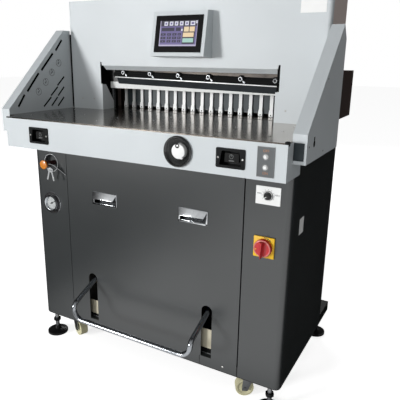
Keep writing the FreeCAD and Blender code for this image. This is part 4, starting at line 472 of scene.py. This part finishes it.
def buildHandwheel():
    x, z = wheel["x"], wheel["z"]
    rim, hub, out, deep = wheel["rim"], wheel["hub"], wheel["front"], wheel["bowl"]
    back, face = wheel["back"], wheel["hubFront"]
    bm = bmesh.new()
    spinProfile(bm, [(0, deep - 2), (rim - 9, deep - 2), (rim - 4, back), (rim - 0.6, back),
                     (rim, back + 0.8), (rim, out - 2.6), (rim - 0.9, out - 0.7), (rim - 2.4, out),
                     (rim - 4.2, out - 0.5), (rim - 5.4, out - 2), (rim - 8, out - 7),
                     (hub + 6, deep + 3.5), (hub + 2, deep + 2), (hub, deep + 2.4), (0, deep + 2.4)],
                (x, 0, z), 72)
    made = finishPiece(bm, "handwheelDish", wheelPlastic, "wheel_control")
    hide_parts("handwheel")
    bm = bmesh.new()
    spinProfile(bm, [(0, deep + 2), (hub + 0.6, deep + 2), (hub + 0.6, face - 1.2), (hub, face - 0.3),
                     (hub - 1, face), (0, face)], (x, 0, z), 64)
    finishPiece(bm, "handwheelCap", whitePlate, "wheel_control")
    bm = bmesh.new()
    seat, (low, high) = wheel["seat"], wheel["slot"]
    addRing(bm, (x + seat[0], -face, z + seat[1]), *wheel["seatRing"], 28)
    addBlock(bm, (x + low[0], -face - 0.5, z + low[1]), (x + high[0], -face + 0.1, z + high[1]), 0.2)
    finishPiece(bm, "handwheelCrankSeat", glossBlack, "wheel_control")


buildHandwheel()
print("handwheel done")

# Two-hand buttons and the switch plate on the bar.

housing = {
    "centres": [(-321.4, "left_cut_button", "leftButtonMark"),
                (354.2, "right_cut_button", "rightButtonMark")],
    "z": 823.8, "front": -130.9, "screws": 34.4, "button": -121,
    # each button bears a ring with a stroke in it, and a bar below
    "ring": (4.8, 5.8, 0.2), "ringAt": (-1, 3), "strokes": [(-1.5, -0.5, 3, 9.6), (-8, 7, -9.2, -6.8)],
}
switches = {
    "x": 449.6, "off": 838.2, "on": 811.5, "face": -129.9, "plate": (426.6, 786.5, 471.7, 862.8),
    "collar": (6.5, 9.2, 1.2), "edge": 1.2, "letters": 6.6,
    "words": [("OFF", 852.5, "letteringOff"), ("ON", 796.5, "letteringOn")],
}


def buildButtons():
    face, z = housing["button"], housing["z"]
    screws = bmesh.new()
    for x, body, name in housing["centres"]:
        for side in (-1, 1):
            addScrew(screws, x + side * housing["screws"], housing["front"], z + 0.5, 2.7)
        bm = bmesh.new()
        addRing(bm, (x + housing["ringAt"][0], face, z + housing["ringAt"][1]), *housing["ring"], 32)
        for left, right, low, high in housing["strokes"]:
            addBlock(bm, (x + left, face - 0.2, z + low), (x + right, face + 0.1, z + high), 0.1, 1)
        finishPiece(bm, name, silverInkAndEdgeHighlight, body)
    finishPiece(screws, "housingScrews", brightSteel)


def buildSwitchDetails():
    x, face = switches["x"], switches["face"]
    (left, low, right, high), edge = switches["plate"], switches["edge"]
    for words, z, name in switches["words"]:
        placeText(words, switches["letters"], (x, face - 0.05, z), amberInk, name)
    bm = bmesh.new()
    for x0, x1, z0, z1 in ((left, right, high - edge, high), (left, right, low, low + edge),
                           (left, left + edge, low, high), (right - edge, right, low, high)):
        addBlock(bm, (x0, face - 0.3, z0), (x1, face + 0.1, z1), 0.1, 1)
    for z in (switches["off"], switches["on"]):
        addRing(bm, (x, face, z), *switches["collar"], 36)
    finishPiece(bm, "switchPlateTrim", silverInkAndEdgeHighlight)


buildButtons()
buildSwitchDetails()
print("bar controls done")

# Panel pulls: a thin bright frame round a tray darkened with painted shade, and a flared grip over its
# top.

pulls = {
    "middle": 5.3, "spread": 171.5, "low": 579.2, "high": 625.2, "wide": 103, "rim": 6.5, "sheet": 2.8,
    "gripDrop": 22, "gripBend": 10, "gripFront": 15, "gripInset": 9, "gripSkin": 3,
    "trayInset": 4.4, "trayTop": 3.4, "trayFront": -0.5, "trayBack": 17, "trayWall": 1.2, "seat": -0.02,
}


def buildPulls():
    bm, dark = bmesh.new(), bmesh.new()
    sheet, out, mouth, seat = -pulls["sheet"], -pulls["gripFront"], pulls["trayFront"], pulls["seat"]
    for side in (-1, 1):
        x = pulls["middle"] + side * pulls["spread"]
        half, low, high = pulls["wide"] / 2, pulls["low"], pulls["high"]
        addBlock(bm, (x - half, sheet, low), (x + half, seat, low + pulls["rim"]), 0.9, 3)
        for edge in (-1, 1):
            inner = x + edge * (half - pulls["rim"])
            addBlock(bm, (inner, sheet, low), (x + edge * half, seat, high), 0.9, 3)
        # The grip starts at the frame's top and leans out over the opening, drawn in below.
        grip = addBlock(bm, (x - half, sheet, high - pulls["gripDrop"]), (x + half, seat, high))
        for vert in grip:
            if vert.co.z < at(0, 0, high - pulls["gripBend"]).z:
                outside = vert.co.y < at(0, sheet / 2, 0).y
                vert.co.y = at(0, out if outside else out + pulls["gripSkin"], 0).y
                vert.co.x += math.copysign(pulls["gripInset"] / 1000, x / 1000 - vert.co.x)
        roundEdges(bm, grip, 0.9, 3)
        inset = pulls["trayInset"]
        tray = addBlock(dark, (x - half + inset, mouth, low + inset),
                        (x + half - inset, pulls["trayBack"], high - pulls["trayTop"]))
        opening = [face for face in {f for v in tray for f in v.link_faces}
                   if all(abs(v.co.y - at(0, mouth, 0).y) < 1e-6 for v in face.verts)]
        bmesh.ops.delete(dark, geom=opening, context="FACES_ONLY")
    bmesh.ops.solidify(dark, geom=dark.faces[:], thickness=pulls["trayWall"] / 1000)
    made = finishPiece(bm, "pullFrames", chrome)
    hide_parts("panel_pulls")
    # The trays' dark chrome is painted shade of the pull's hollow.
    finishPiece(dark, "pullTrays", darkChrome)


buildPulls()
print("pulls done")

# Left column: pressure gauge, lock valve, its keys and a stiff sealing rod.

gauge = {"x": -409.1, "z": 553.3, "flange": 40, "flangeFace": -3, "ring": 31, "glass": 26,
         "dial": (3.2, 22.9), "ticks": 13, "tickEnd": 21.5, "tickFace": -5.35}
valve = {"x": -405.1, "z": 702.1, "hole": 31, "cap": 15.8, "capRear": 33, "tip": 40, "body": 12.5,
         # each key's lean in radians and how far it hangs in front of the other, bow and blade
         "keys": [(0.3, 0), (-0.26, 2.2)], "bow": (2.4, 8.4, 0.9), "bowAt": (25.5, -30, -17.5),
         "swing": 18, "reach": 25, "blade": ((-2.9, -0.9, -13), (2.9, 0.4, 18)),
         # the key ring's middle and reach along each axis, the sealing rod's way, their wires
         "ring": ((20, -31, -11), (8, 1.5, 5)), "wires": (0.7, 1),
         "rod": [(13, -26, 2), (26, -20, 1), (46, -12, -16), (69, -2.5, -36)]}


def buildGauge():
    x, z = gauge["x"], gauge["z"]
    ring, lens, flange = gauge["ring"], gauge["glass"], gauge["flange"]
    near, far = gauge["dial"]
    plane = (x, gauge["flangeFace"], z)
    bm = bmesh.new()
    spinProfile(bm, [(lens, 10), (ring - 1, 10), (ring + 0.2, 11), (ring + 0.4, 12.4), (ring, 13.4),
                     (ring - 1.8, 14), (lens + 0.6, 13.6), (lens - 0.6, 12.6), (lens, 10)], (x, 0, z), 64)
    addRing(bm, plane, flange - 1.5, flange, 0.7, 64)
    finishPiece(bm, "gaugeBezel", chrome)
    bm = bmesh.new()
    addRing(bm, plane, ring + 0.2, flange - 1.5, 0.3, 64)
    finishPiece(bm, "gaugeFlangeSkin", basePaint)
    bm = bmesh.new()
    spinProfile(bm, [(near, 5), (far, 5), (far, 5.3), (near, 5.3), (near, 5)], (x, 0, z), 64)
    finishPiece(bm, "gaugeDial", dialFace)
    bm = bmesh.new()
    for mark in range(gauge["ticks"]):
        wide, long = (0.7, 3) if mark % 3 else (1.1, 5)
        addTick(bm, x, gauge["tickFace"], z, -135 + 270 * mark / (gauge["ticks"] - 1), wide, long,
                gauge["tickEnd"] - long / 2)
    finishPiece(bm, "gaugeTicks", markInk)


def buildValve():
    x, z, body, cap = valve["x"], valve["z"], valve["body"], valve["cap"]
    rear, tip = valve["capRear"], valve["tip"]
    bm = bmesh.new()
    spinProfile(bm, [(0, -60), (9, -60), (9, 13), (body, 14), (body, 22), (body - 1.2, 23),
                     (body - 1.2, 26), (body, 27), (body, rear), (0, rear)], (x, 0, z), 40)
    spinProfile(bm, [(0, rear), (cap - 1.2, rear), (cap, rear + 1.2), (cap, tip - 2),
                     (cap - 0.8, tip - 0.6), (cap - 2.2, tip), (0, tip)], (x, 0, z), 40, 1)
    made = finishPiece(bm, "valveLock", [maroonPlastic, orangePlastic], "valve")
    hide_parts("valve_knob")
    bm = bmesh.new()
    addRing(bm, (x, -0.05, z), valve["hole"] - 0.6, valve["hole"] + 1.3, 1.2, 64)
    finishPiece(bm, "valveHoleRing", keySteel)
    bm = bmesh.new()
    (right, out, up), (low, high) = valve["bowAt"], valve["blade"]
    for lean, further in valve["keys"]:
        bow = Vector((x + right - lean * valve["swing"], out - further, z + up))
        addRing(bm, bow, *valve["bow"], 24)
        foot = bow - Vector((math.sin(lean), 0, math.cos(lean))) * valve["reach"]
        addBlock(bm, foot + Vector(low), foot + Vector(high), 0.4, 1, 0, (lean, "Y"))
    finishPiece(bm, "valveKeys", keySteel, "valve")
    middle, reach = map(Vector, valve["ring"])
    turns = [index * oneTurn / 6 for index in range(6)]
    ring = [middle + reach * Vector((math.cos(a), math.sin(a), math.sin(a))) for a in turns]
    bendWire("keyRing", (x, 0, z), ring, valve["wires"][0], keySteel, "valve", True)
    bendWire("sealingRod", (x, 0, z), valve["rod"], valve["wires"][1], keySteel, "valve")


buildGauge()
buildValve()
print("left column done")

# Right column: pressure knob on its plate and the main switch.

knob = {"x": 415, "z": 703, "front": 14.5, "radius": 9, "skirt": 14.4, "plate": -1.5, "flutes": 14,
        "pointer": -128, "marks": 9, "firstMark": -120, "pitch": 30, "mark": (0.8, 3, 18), "letters": 5,
        "words": [("MIN", -26, "letteringMin"), ("MAX", 26, "letteringMax")]}
mainSwitch = {"x": 411.7, "z": 550, "disc": 26.4, "front": 20, "plate": 5, "side": 63,
              "grip": 34, "gripHalf": 7.5, "gripReach": 27.4, "gripShoulder": 28, "pointShare": 0.22,
              "dot": (-18.5, -3), "marks": 7}


def buildKnob():
    # Fluted knob on a skirt, turned so that its pointer looks down to the left.
    x, z, radius, tip = knob["x"], knob["z"], knob["radius"], knob["front"]
    bm = bmesh.new()
    spinProfile(bm, [(0, 2.1), (knob["skirt"], 2.1), (knob["skirt"], 3.4), (radius + 2, 5.4), (radius, 6),
                     (radius - 0.3, tip - 1), (radius - 1, tip), (0, tip)], (x, 0, z), 48)
    for index in range(knob["flutes"]):
        angle = oneTurn * index / knob["flutes"]
        spot = (x + radius * math.sin(angle), z + radius * math.cos(angle))
        addBlock(bm, (spot[0] - 0.8, -tip + 1.2, spot[1] - 0.6), (spot[0] + 0.8, -6, spot[1] + 0.6),
                 0.3, 1, 0, (angle, "Y"))
    made = finishPiece(bm, "knobFluted", glossBlack, "pressure_control")
    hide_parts("pressure_knob")
    bm = bmesh.new()
    addTick(bm, x, -tip, z, knob["pointer"], 1.9, 7.5, 4.6)
    addRing(bm, (x, -4.4, z), knob["skirt"] - 2.6, knob["skirt"] - 0.9, 0.8, 48)
    finishPiece(bm, "knobPointer", whitePlate, "pressure_control")
    bm = bmesh.new()
    for index in range(knob["marks"]):
        addTick(bm, x, knob["plate"] - 0.12, z, knob["firstMark"] + knob["pitch"] * index,
                *knob["mark"])
    finishPiece(bm, "knobScale", markInk)
    for words, side, name in knob["words"]:
        spot = (x + side, knob["plate"] - 0.05, z + 4)
        placeText(words, knob["letters"], spot, markInk, name)


def buildMainSwitch():
    # Yellow plate, round red skirt whose rim is drawn pink as a painted highlight, and a grip that ends
    # in a point below.
    x, z, radius = mainSwitch["x"], mainSwitch["z"], mainSwitch["disc"]
    half, out = mainSwitch["side"] / 2, mainSwitch["front"]
    bm = bmesh.new()
    addBlock(bm, (x - half, -mainSwitch["plate"], z - half), (x + half, -0.05, z + half), 1.6, 3)
    made = finishPiece(bm, "switchPlateYellow", yellowPlastic)
    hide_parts("main_switch_plate")
    bm = bmesh.new()
    spinProfile(bm, [(0, 5.6), (radius, 5.6), (radius, out - 4), (radius - 0.8, out - 1.6),
                     (radius - 2.2, out - 0.4), (radius - 3.6, out), (radius - 5, out - 1.4),
                     (0, out - 1.4)], (x, 0, z), 64)
    # The front of the rim takes the pink: painted highlight on its rounded edge.
    for face in bm.faces:
        reach = face.calc_center_median() - at(x, 0, z)
        if math.hypot(reach.x, reach.z) > (radius - 4.4) / 1000 and -reach.y > (out - 1.7) / 1000:
            face.material_index = 1
    middle, half = at(x, 0, z), mainSwitch["gripHalf"]
    grip = addBlock(bm, (x - half, -mainSwitch["grip"], z - mainSwitch["gripReach"]),
                    (x + half, 2 - out, z + radius - 4))
    for vert in grip:
        if vert.co.z < middle.z:
            vert.co.x = middle.x + (vert.co.x - middle.x) * mainSwitch["pointShare"]
        if vert.co.y < at(0, -mainSwitch["gripShoulder"], 0).y:
            vert.co.x = middle.x + (vert.co.x - middle.x) * 0.5
    roundEdges(bm, grip, 1.1, 3)
    made = finishPiece(bm, "switchGripRed", [redPlastic, pinkRim], "main_switch")
    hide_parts("switch_handle")
    bm = bmesh.new()
    addScrew(bm, x + mainSwitch["dot"][0], -out + 1.4, z + mainSwitch["dot"][1], 2)
    finishPiece(bm, "switchDot", yellowPlastic, "main_switch")
    bm = bmesh.new()
    for index in range(mainSwitch["marks"]):
        addTick(bm, x, -mainSwitch["plate"] - 0.05, z, 2 + 6.5 * index, 3.6, 2.2, radius + 3)
    finishPiece(bm, "switchArc", markInk)


buildKnob()
buildMainSwitch()
print("right column done")

# Knife line: a near-white edge strip, partly the ground edge and partly painted highlight, a steel strip
# whose brown is a painted reflection, jack screws and open washers under bolt heads.

knife = {
    "tilt": math.radians(1.1442), "pivot": (250, 1190),
    "first": -506.2, "pitch": 117.5, "count": 6, "boltZ": -185.7, "lip": 250, "ends": (-548, 143),
    "jack": (12, -10.5), "jackLean": 35, "washer": (4.9, 6.6, 0.5), "washerFace": 243.9,
    # finish, depth and height of the near low and the far high corner, rounding and its steps
    "strips": {"knifeEdgeHighlightStrip": (edgeSteel, (251.5, -204.9), (265.9, -201.3), 0.7, 2),
               "carrierBrownReflectionStrip": (carrierSteel, (254.6, -178.5), (255.9, -92), 0.3, 1)},
}


def buildKnifeDetails():
    # All are drawn for a level knife and then turned about its pivot to its slant.
    middle, level = knife["pivot"]
    pivot = at(middle, 0, level)
    turn = Matrix.Rotation(knife["tilt"], 4, "Y")
    tilt = Matrix.Translation(pivot) @ turn @ Matrix.Translation(-pivot)

    def finishTilted(bm, name, finish):
        bmesh.ops.transform(bm, matrix=tilt, verts=bm.verts)
        finishPiece(bm, name, finish, "knife_assembly")

    left, right = (middle + end for end in knife["ends"])
    for name, (finish, (near, low), (far, high), radius, steps) in knife["strips"].items():
        bm = bmesh.new()
        addBlock(bm, (left, near, level + low), (right, far, level + high), radius, steps)
        finishTilted(bm, name, finish)
    jacks, washers = bmesh.new(), bmesh.new()
    lip = knife["lip"]
    for index in range(knife["count"]):
        x = middle + knife["first"] + index * knife["pitch"]
        z = level + knife["boltZ"]
        spot = (x + knife["jack"][0], lip, z + knife["jack"][1])
        spinProfile(jacks, [(0, -0.2), (3.3, -0.2), (3.3, 2.2), (2.8, 2.8), (1.5, 2.8), (1.3, 1.4),
                            (0, 1.4)], spot, 20)
        addBlock(jacks, (x + 5, lip - 1.2, z - 8.6), (x + 12, lip + 0.3, z - 5.6), 0.4, 1, 0,
                 (math.radians(knife["jackLean"]), "Y"))
        addRing(washers, (x, knife["washerFace"], z), *knife["washer"], 28)
    finishTilted(jacks, "jackScrews", zinc)
    finishTilted(washers, "boltWashers", zinc)


buildKnifeDetails()
print("knife line done")

# Wings: knock-outs in the left inner wall, black sheets of painted shade behind the slots, a gusset, and
# holes and a keyhole drawn as black discs of painted shade.

wings = {
    "inner": -499.5, "outer": 536.3, "shadeSheets": -499.9,
    # half width of each row of slots, and the slots' ends as depth and height
    "slots": [(4.2, [(-41.2, 902, -14.7, 935.4), (4.5, 952, 58, 1007.9),
                     (78, 1023.2, 133.8, 1077.2), (154.8, 1093.3, 184.3, 1126)]),
              (3.2, [(154, 965.8, 187, 993.1), (117.5, 930, 149.8, 956.6),
                     (154.2, 927.8, 184, 955), (78.5, 892.7, 113.4, 920.8),
                     (117.5, 892.2, 146.6, 918.8), (150.9, 889.6, 180.8, 916.6)])],
    "seam": ((-499.4, 230.9, 876.5), (-493.4, 236, 1150)),
    "gusset": [(196, 1155), (200, 1163.4), (233.5, 1163.4), (233.5, 1118), (228, 1118)],
    "gussetSides": (-501.4, -499.6),
    "knockouts": [(55.2, 945.7), (92.7, 978.5), (126.6, 1012.5), (164.3, 1046.1)],
    "knockoutRadius": 13, "knockoutLean": -38,
    # radius, steps, depth and height of each hole, and the slot above the first, a keyhole; each is drawn
    # as a black disc of painted shade
    "holes": [(9, 24, -21.5, 863), (2.6, 20, 69.1, 1020.8), (2.6, 20, -65.2, 860.6),
              (2.6, 20, 72.6, 831.3)],
    "keySlot": ((-26.5, 861), (-16.5, 881)), "hair": 0.01,  # how far their black lies on the wall
}


def buildWingDetails():
    bm = bmesh.new()
    wall, radius = wings["inner"], wings["knockoutRadius"]
    for depth, z in wings["knockouts"]:
        addRing(bm, (wall, depth, z), radius - 1, radius + 0.2, 0.35, axis=rightward)
        addBlock(bm, (wall - 0.1, depth - 1, z - 6), (wall + 0.3, depth + 1, z + 6),
                 0.1, 1, 0, (math.radians(wings["knockoutLean"]), "X"))
        addScrew(bm, wall, depth - 1, z + 8.5, 2, rightward)
    finishPiece(bm, "knockoutRings", markInk)
    # Black sheets behind the slots are painted shade of the hollow wing; the seam block is a dark joint.
    bm = bmesh.new()
    back = wings["shadeSheets"]
    for half, row in wings["slots"]:
        for depth, z, farDepth, farZ in row:
            middle, level = (depth + farDepth) / 2, (z + farZ) / 2
            reach = math.dist((depth, z), (farDepth, farZ)) / 2 + half
            addBlock(bm, (back, middle - reach, level - half), (back + 0.6, middle + reach, level + half),
                     0.2, 1, 0, (math.atan2(farZ - z, farDepth - depth), "X"))
    addBlock(bm, *wings["seam"], 0.8, 2)
    finishPiece(bm, "wingSlotShadeAndSeam", shadeAndSeamBlack)
    # A gusset ties the wing's cut corner to the cover.
    bm = bmesh.new()
    near, far = [[bm.verts.new(at(x, *spot)) for spot in wings["gusset"]] for x in wings["gussetSides"]]
    bm.faces.new(near)
    bm.faces.new(far[::-1])
    for index in range(len(near)):
        after = (index + 1) % len(near)
        bm.faces.new((near[index], far[index], far[after], near[after]))
    roundEdges(bm, bm.verts, 0.4, 2)
    finishPiece(bm, "wingGusset", lightPaint)
    # The holes and the keyhole are black discs: painted shade of their insides.
    bm = bmesh.new()
    wall, hair, (low, high) = wings["outer"], wings["hair"], wings["keySlot"]
    for radius, steps, depth, z in wings["holes"]:
        spinProfile(bm, [(0, -0.3), (radius, -0.3), (radius - 0.1, hair), (0, hair)], (wall, depth, z),
                    steps, 0, rightward)
    addBlock(bm, (wall - 0.1, *low), (wall + hair, *high), 0.005, 1)
    finishPiece(bm, "wingHolesPaintedShade", shadeAndSeamBlack)


buildWingDetails()
print("wings done")

# Screws, air jets, slots and labels.

details = {
    "coverFace": 231.5, "coverScrews": [(372, 914), (-447, 914), (-389, 915)],
    "panelScrews": [(152.7, 108.7), (294.7, 110.4)],
    "tableTop": 875.5, "jetColumns": 7, "jetRows": 3, "jetFirst": (-433, -49), "jetPitch": (143, 108),
    "ball": [(0, -0.3), (2.2, -0.3), (2.1, 0.5), (1.3, 1.1), (0, 1.3)],
    # left, right, low and high of the cream liner in each pedal slot, and the sill below it, whose grey
    # lip is a painted highlight of the slot's lit lower edge
    "liner": [(-267, -216, 138, 192), (200, 252, 146, 216)], "linerBack": 21.9,
    "sillLow": 92.9, "sillEdgeHighlight": (126.2, 128.6),
    "sleeve": {"slots": (-233.9, 232.6), "depth": 48, "z": 300, "radius": 16, "half": 15},
    # pieces of rounded blocks, each with two corners, a rounding and its steps
    "blocks": {
        "wingWindow": (wellGrey, "plate_grey", [((502.1, -82.6, 825.9), (530.9, -79, 872.7), 0.6, 2)]),
        # A black block in the gap at the table's front right corner.
        "tableCornerBlackBlock": (rubberAndShadeBlack, "black_plastic", [((493, -126.8, 866.5), (503.5, -112, 878.5), 2.2, 3)]),
        "blankLabels": (whitePlate, "plate_white", [((398, 230.7, 1199), (473.5, 231.45, 1243), 0.3, 1),
                                                    ((485.1, 84, 572), (485.6, 124, 622), 0.2, 1)]),
        # The first slit is a seam; the second, beside the mouth, is painted shade of a slit.
        "panelSlit": (shadeAndSeamBlack, "black_plastic", [((209, -0.25, 93.2), (210.4, 0.1, 125.8), 0.1, 1),
                                                    ((337.2, 235, 970), (349, 236.2, 1052), 0.3, 1)]),
    },
}


def buildSmallThings():
    bm = bmesh.new()
    for x, z in details["coverScrews"]:
        addScrew(bm, x, details["coverFace"], z, 2.8)
    for x, z in details["panelScrews"]:
        addScrew(bm, x, 0, z, 3.4)
    finishPiece(bm, "panelScrews", brightSteel)
    balls, boreShade = bmesh.new(), bmesh.new()
    (left, near), (across, along) = details["jetFirst"], details["jetPitch"]
    for row in range(details["jetRows"]):
        for column in range(details["jetColumns"]):
            spot = (left + column * across, near + row * along, details["tableTop"])
            spinProfile(balls, details["ball"], spot, 14, 0, upward)
            # A dark ring round each ball: painted shade of the jet's bore.
            addRing(boreShade, spot, 2.6, 4.6, 0.25, 24, upward)
    finishPiece(balls, "jetBalls", keySteel)
    finishPiece(boreShade, "jetBoreShadeRings", darkChrome)
    sleeve = details["sleeve"]
    half, radius = sleeve["half"], sleeve["radius"]
    tube = [(0, -half), (radius - 1, -half), (radius, 1 - half), (radius, half - 1),
            (radius - 1, half), (0, half)]
    bm = bmesh.new()
    for x in sleeve["slots"]:
        spinProfile(bm, tube, (x, sleeve["depth"], sleeve["z"]), 40, 0, rightward)
    finishPiece(bm, "pedalSleeves", sleeveBlue, "pedal")
    liners, sills = bmesh.new(), bmesh.new()
    back, lip = details["linerBack"], details["sillEdgeHighlight"]
    for left, right, low, high in details["liner"]:
        addBlock(liners, (left, back - 1.3, low), (right, back, high), 0.4, 1)
        addBlock(sills, (left, back - 1.5, details["sillLow"]), (right, back, low - 1.5), 0.3, 1)
        # The grey lip is a painted highlight of the slot's lit lower edge.
        addBlock(sills, (left, back - 2.1, lip[0]), (right, back - 0.4, lip[1]), 0.3, 1, 1)
    finishPiece(liners, "slotLiners", oilPaint)
    finishPiece(sills, "slotSills", [shadeAndSeamBlack, silverInkAndEdgeHighlight])
    for name, (finish, slot, blocks) in details["blocks"].items():
        bm = bmesh.new()
        for block in blocks:
            addBlock(bm, *block)
        finishPiece(bm, name, finish)


buildSmallThings()
print("small things done")

# Back gauge: grey strips between the white ribs, and at each rib's foot a black dome of painted shade for
# the dark slot there.

ribs = {
    "first": -337.7, "pitch": 38.4, "count": 18, "inset": 6.2, "panel": 371.9, "low": 888.5,
    "high": 1000, "footShadeFace": 362.8, "footShadeZ": 881, "footShadeRadius": 2.2,
}


def buildGaugePanels():
    strips, footShade = bmesh.new(), bmesh.new()
    for index in range(ribs["count"]):
        x = ribs["first"] + index * ribs["pitch"]
        # A black dome at the foot: painted shade of the slot the rib runs into.
        addScrew(footShade, x, ribs["footShadeFace"], ribs["footShadeZ"], ribs["footShadeRadius"])
        if index < ribs["count"] - 1:
            addBlock(strips, (x + ribs["inset"], ribs["panel"] - 0.8, ribs["low"]),
                     (x + ribs["pitch"] - ribs["inset"], ribs["panel"] + 0.3, ribs["high"]), 0.3, 1)
    finishPiece(strips, "gaugeStrips", stripGrey, "gauge")
    finishPiece(footShade, "ribFootShadeDots", rubberAndShadeBlack, "gauge")


buildGaugePanels()
print("back gauge done")

# Studio: a white floor, three lamps, and a world that is bright low in front and dark elsewhere.

studio = {
    # the main lamp is low on the left, the fill in front gives no highlight, the rear is weak
    "lamps": {
        "main": {"at": (-4.22, -7.16, 1.55), "to": (0, -0.4, 0.85), "size": 1.8, "watts": 440},
        "fill": {"at": (0.9, -5.1, 1.9), "to": (0, -0.2, 0.8), "size": 1.8, "watts": 45},
        "rear": {"at": (-1.6, 3.4, 2.2), "to": (0, 0, 0.8), "size": 1.8, "watts": 45},
    },
    "world": 0.21,  # light that falls on the object from all round
    "mirrored": 0.85,  # what its gloss sees in front, low down
    "mirroredDark": 0.03,  # and behind and high up
    "floorLift": 0.75,  # keeps the floor white to the camera
    "floorMirrored": 1.5,  # and to the gloss of the panels above it
    # each fade's axis, where the share is least and where whole, in metres on the floor and as
    # part of a direction in the world, and the least share
    "floorFades": [("Y", -0.4, -0.7, 0), ("X", -0.8, -0.32, 0)],
    "worldFades": [("Y", 0.15, -0.55, 0), ("Z", 0.95, 0.55, 0), ("X", -0.78, -0.5, 0.05)],
}


def addFades(tree, where, fades):
    # The product of one fade along each axis.
    parts = addNode(tree, "SeparateXYZ", None, {0: where})
    share = None
    for axis, first, last, least in fades:
        fade = addNode(tree, "MapRange", {"From Min": first, "From Max": last, "To Min": least},
                       {"Value": parts.outputs[axis]})
        share = addNode(tree, "Math", {"operation": "MULTIPLY"}, {0: share, 1: fade}) if share else fade
    return share


def addRays(tree):
    # Tells the camera's rays, also those through glass, and the rays of a gloss.
    rays = addNode(tree, "LightPath")
    seen = addNode(tree, "Math", {"operation": "MAXIMUM"},
                   {0: rays.outputs["Is Camera Ray"], 1: rays.outputs["Is Transmission Ray"]})
    return seen, rays.outputs["Is Glossy Ray"]


def buildFloor():
    bm = bmesh.new()
    bmesh.ops.create_grid(bm, x_segments=1, y_segments=1, size=20)
    mesh = bpy.data.meshes.new("studioFloor")
    bm.to_mesh(mesh)
    bm.free()
    addObject("studioFloor", mesh)
    # Matt white paper: no texture shows at this distance.
    material, tree, shader, where = startFinish("whitePaperSweep", {
        "Roughness": 0.9, "Specular IOR Level": 0, "Emission Color": (1, 1, 1, 1)})
    seen, mirrored = addRays(tree)
    glossy = addNode(tree, "Math", {"operation": "MULTIPLY"},
                     {0: addFades(tree, where, studio["floorFades"]), 1: mirrored})
    lift = addNode(tree, "Math", {"operation": "MULTIPLY", 1: studio["floorLift"]}, {0: seen})
    both = addNode(tree, "Math", {"operation": "MULTIPLY_ADD", 1: studio["floorMirrored"]},
                   {0: glossy, 2: lift})
    tree.links.new(both.outputs[0], shader.inputs["Emission Strength"])
    tone = addNode(tree, "Mix", {"data_type": "RGBA", 6: srgb("#fafafa"), 7: srgb("#262626")},
                   {0: mirrored})
    tree.links.new(tone.outputs[2], shader.inputs["Base Color"])
    mesh.materials.append(material)


def buildLamps():
    for name, facts in studio["lamps"].items():
        lamp = bpy.data.lights.new(name + "Lamp", "AREA")
        lamp.shape = "DISK"
        lamp.size = facts["size"]
        lamp.energy = facts["watts"]
        holder = addObject(name + "Lamp", lamp)
        holder.location = facts["at"]
        aim = Vector(facts["to"]) - Vector(facts["at"])
        holder.rotation_euler = aim.to_track_quat("-Z", "Y").to_euler()
        holder.visible_camera = False
        holder.visible_glossy = name != "fill"


def buildWorld():
    # The camera sees plain white, and the object's gloss and its matt surfaces their own light.
    world = bpy.data.worlds.new("studioWorld")
    scene.world = world
    world.use_nodes = True
    tree = world.node_tree
    background = tree.nodes["Background"]
    background.inputs["Color"].default_value = (1, 1, 1, 1)
    seen, mirrored = addRays(tree)
    share = addFades(tree, addNode(tree, "TexCoord").outputs["Generated"], studio["worldFades"])
    glossy = addNode(tree, "MapRange", {"To Min": studio["mirroredDark"], "To Max": studio["mirrored"]},
                     {"Value": share})
    plain = addNode(tree, "Mix", {2: studio["world"]}, {0: mirrored, 3: glossy})
    power = addNode(tree, "Mix", {3: 1}, {0: seen, 2: plain})
    tree.links.new(power.outputs[0], background.inputs["Strength"])


view = {  # the photo's camera: place in metres, turns in radians in their order, lens in millimetres
    "place": (0.8591, -1.7121, 1.0701), "turns": [(0.518633, "Z"), (1.2955763, "X"), (0.010619, "Z")],
    "lens": 43.79, "shift": (0.0375, -0.0125),
}


def buildCamera():
    place = Matrix.Translation(view["place"])
    for angle, axis in view["turns"]:
        place = place @ Matrix.Rotation(angle, 4, axis)
    camera = bpy.data.cameras.new("photoCamera")
    camera.sensor_width = 36
    camera.lens = view["lens"]
    camera.shift_x, camera.shift_y = view["shift"]
    scene.camera = addObject("photoCamera", camera)
    scene.camera.matrix_world = place


buildFloor()
buildLamps()
buildWorld()
buildCamera()
print("studio done")

bpy.context.view_layer.update()
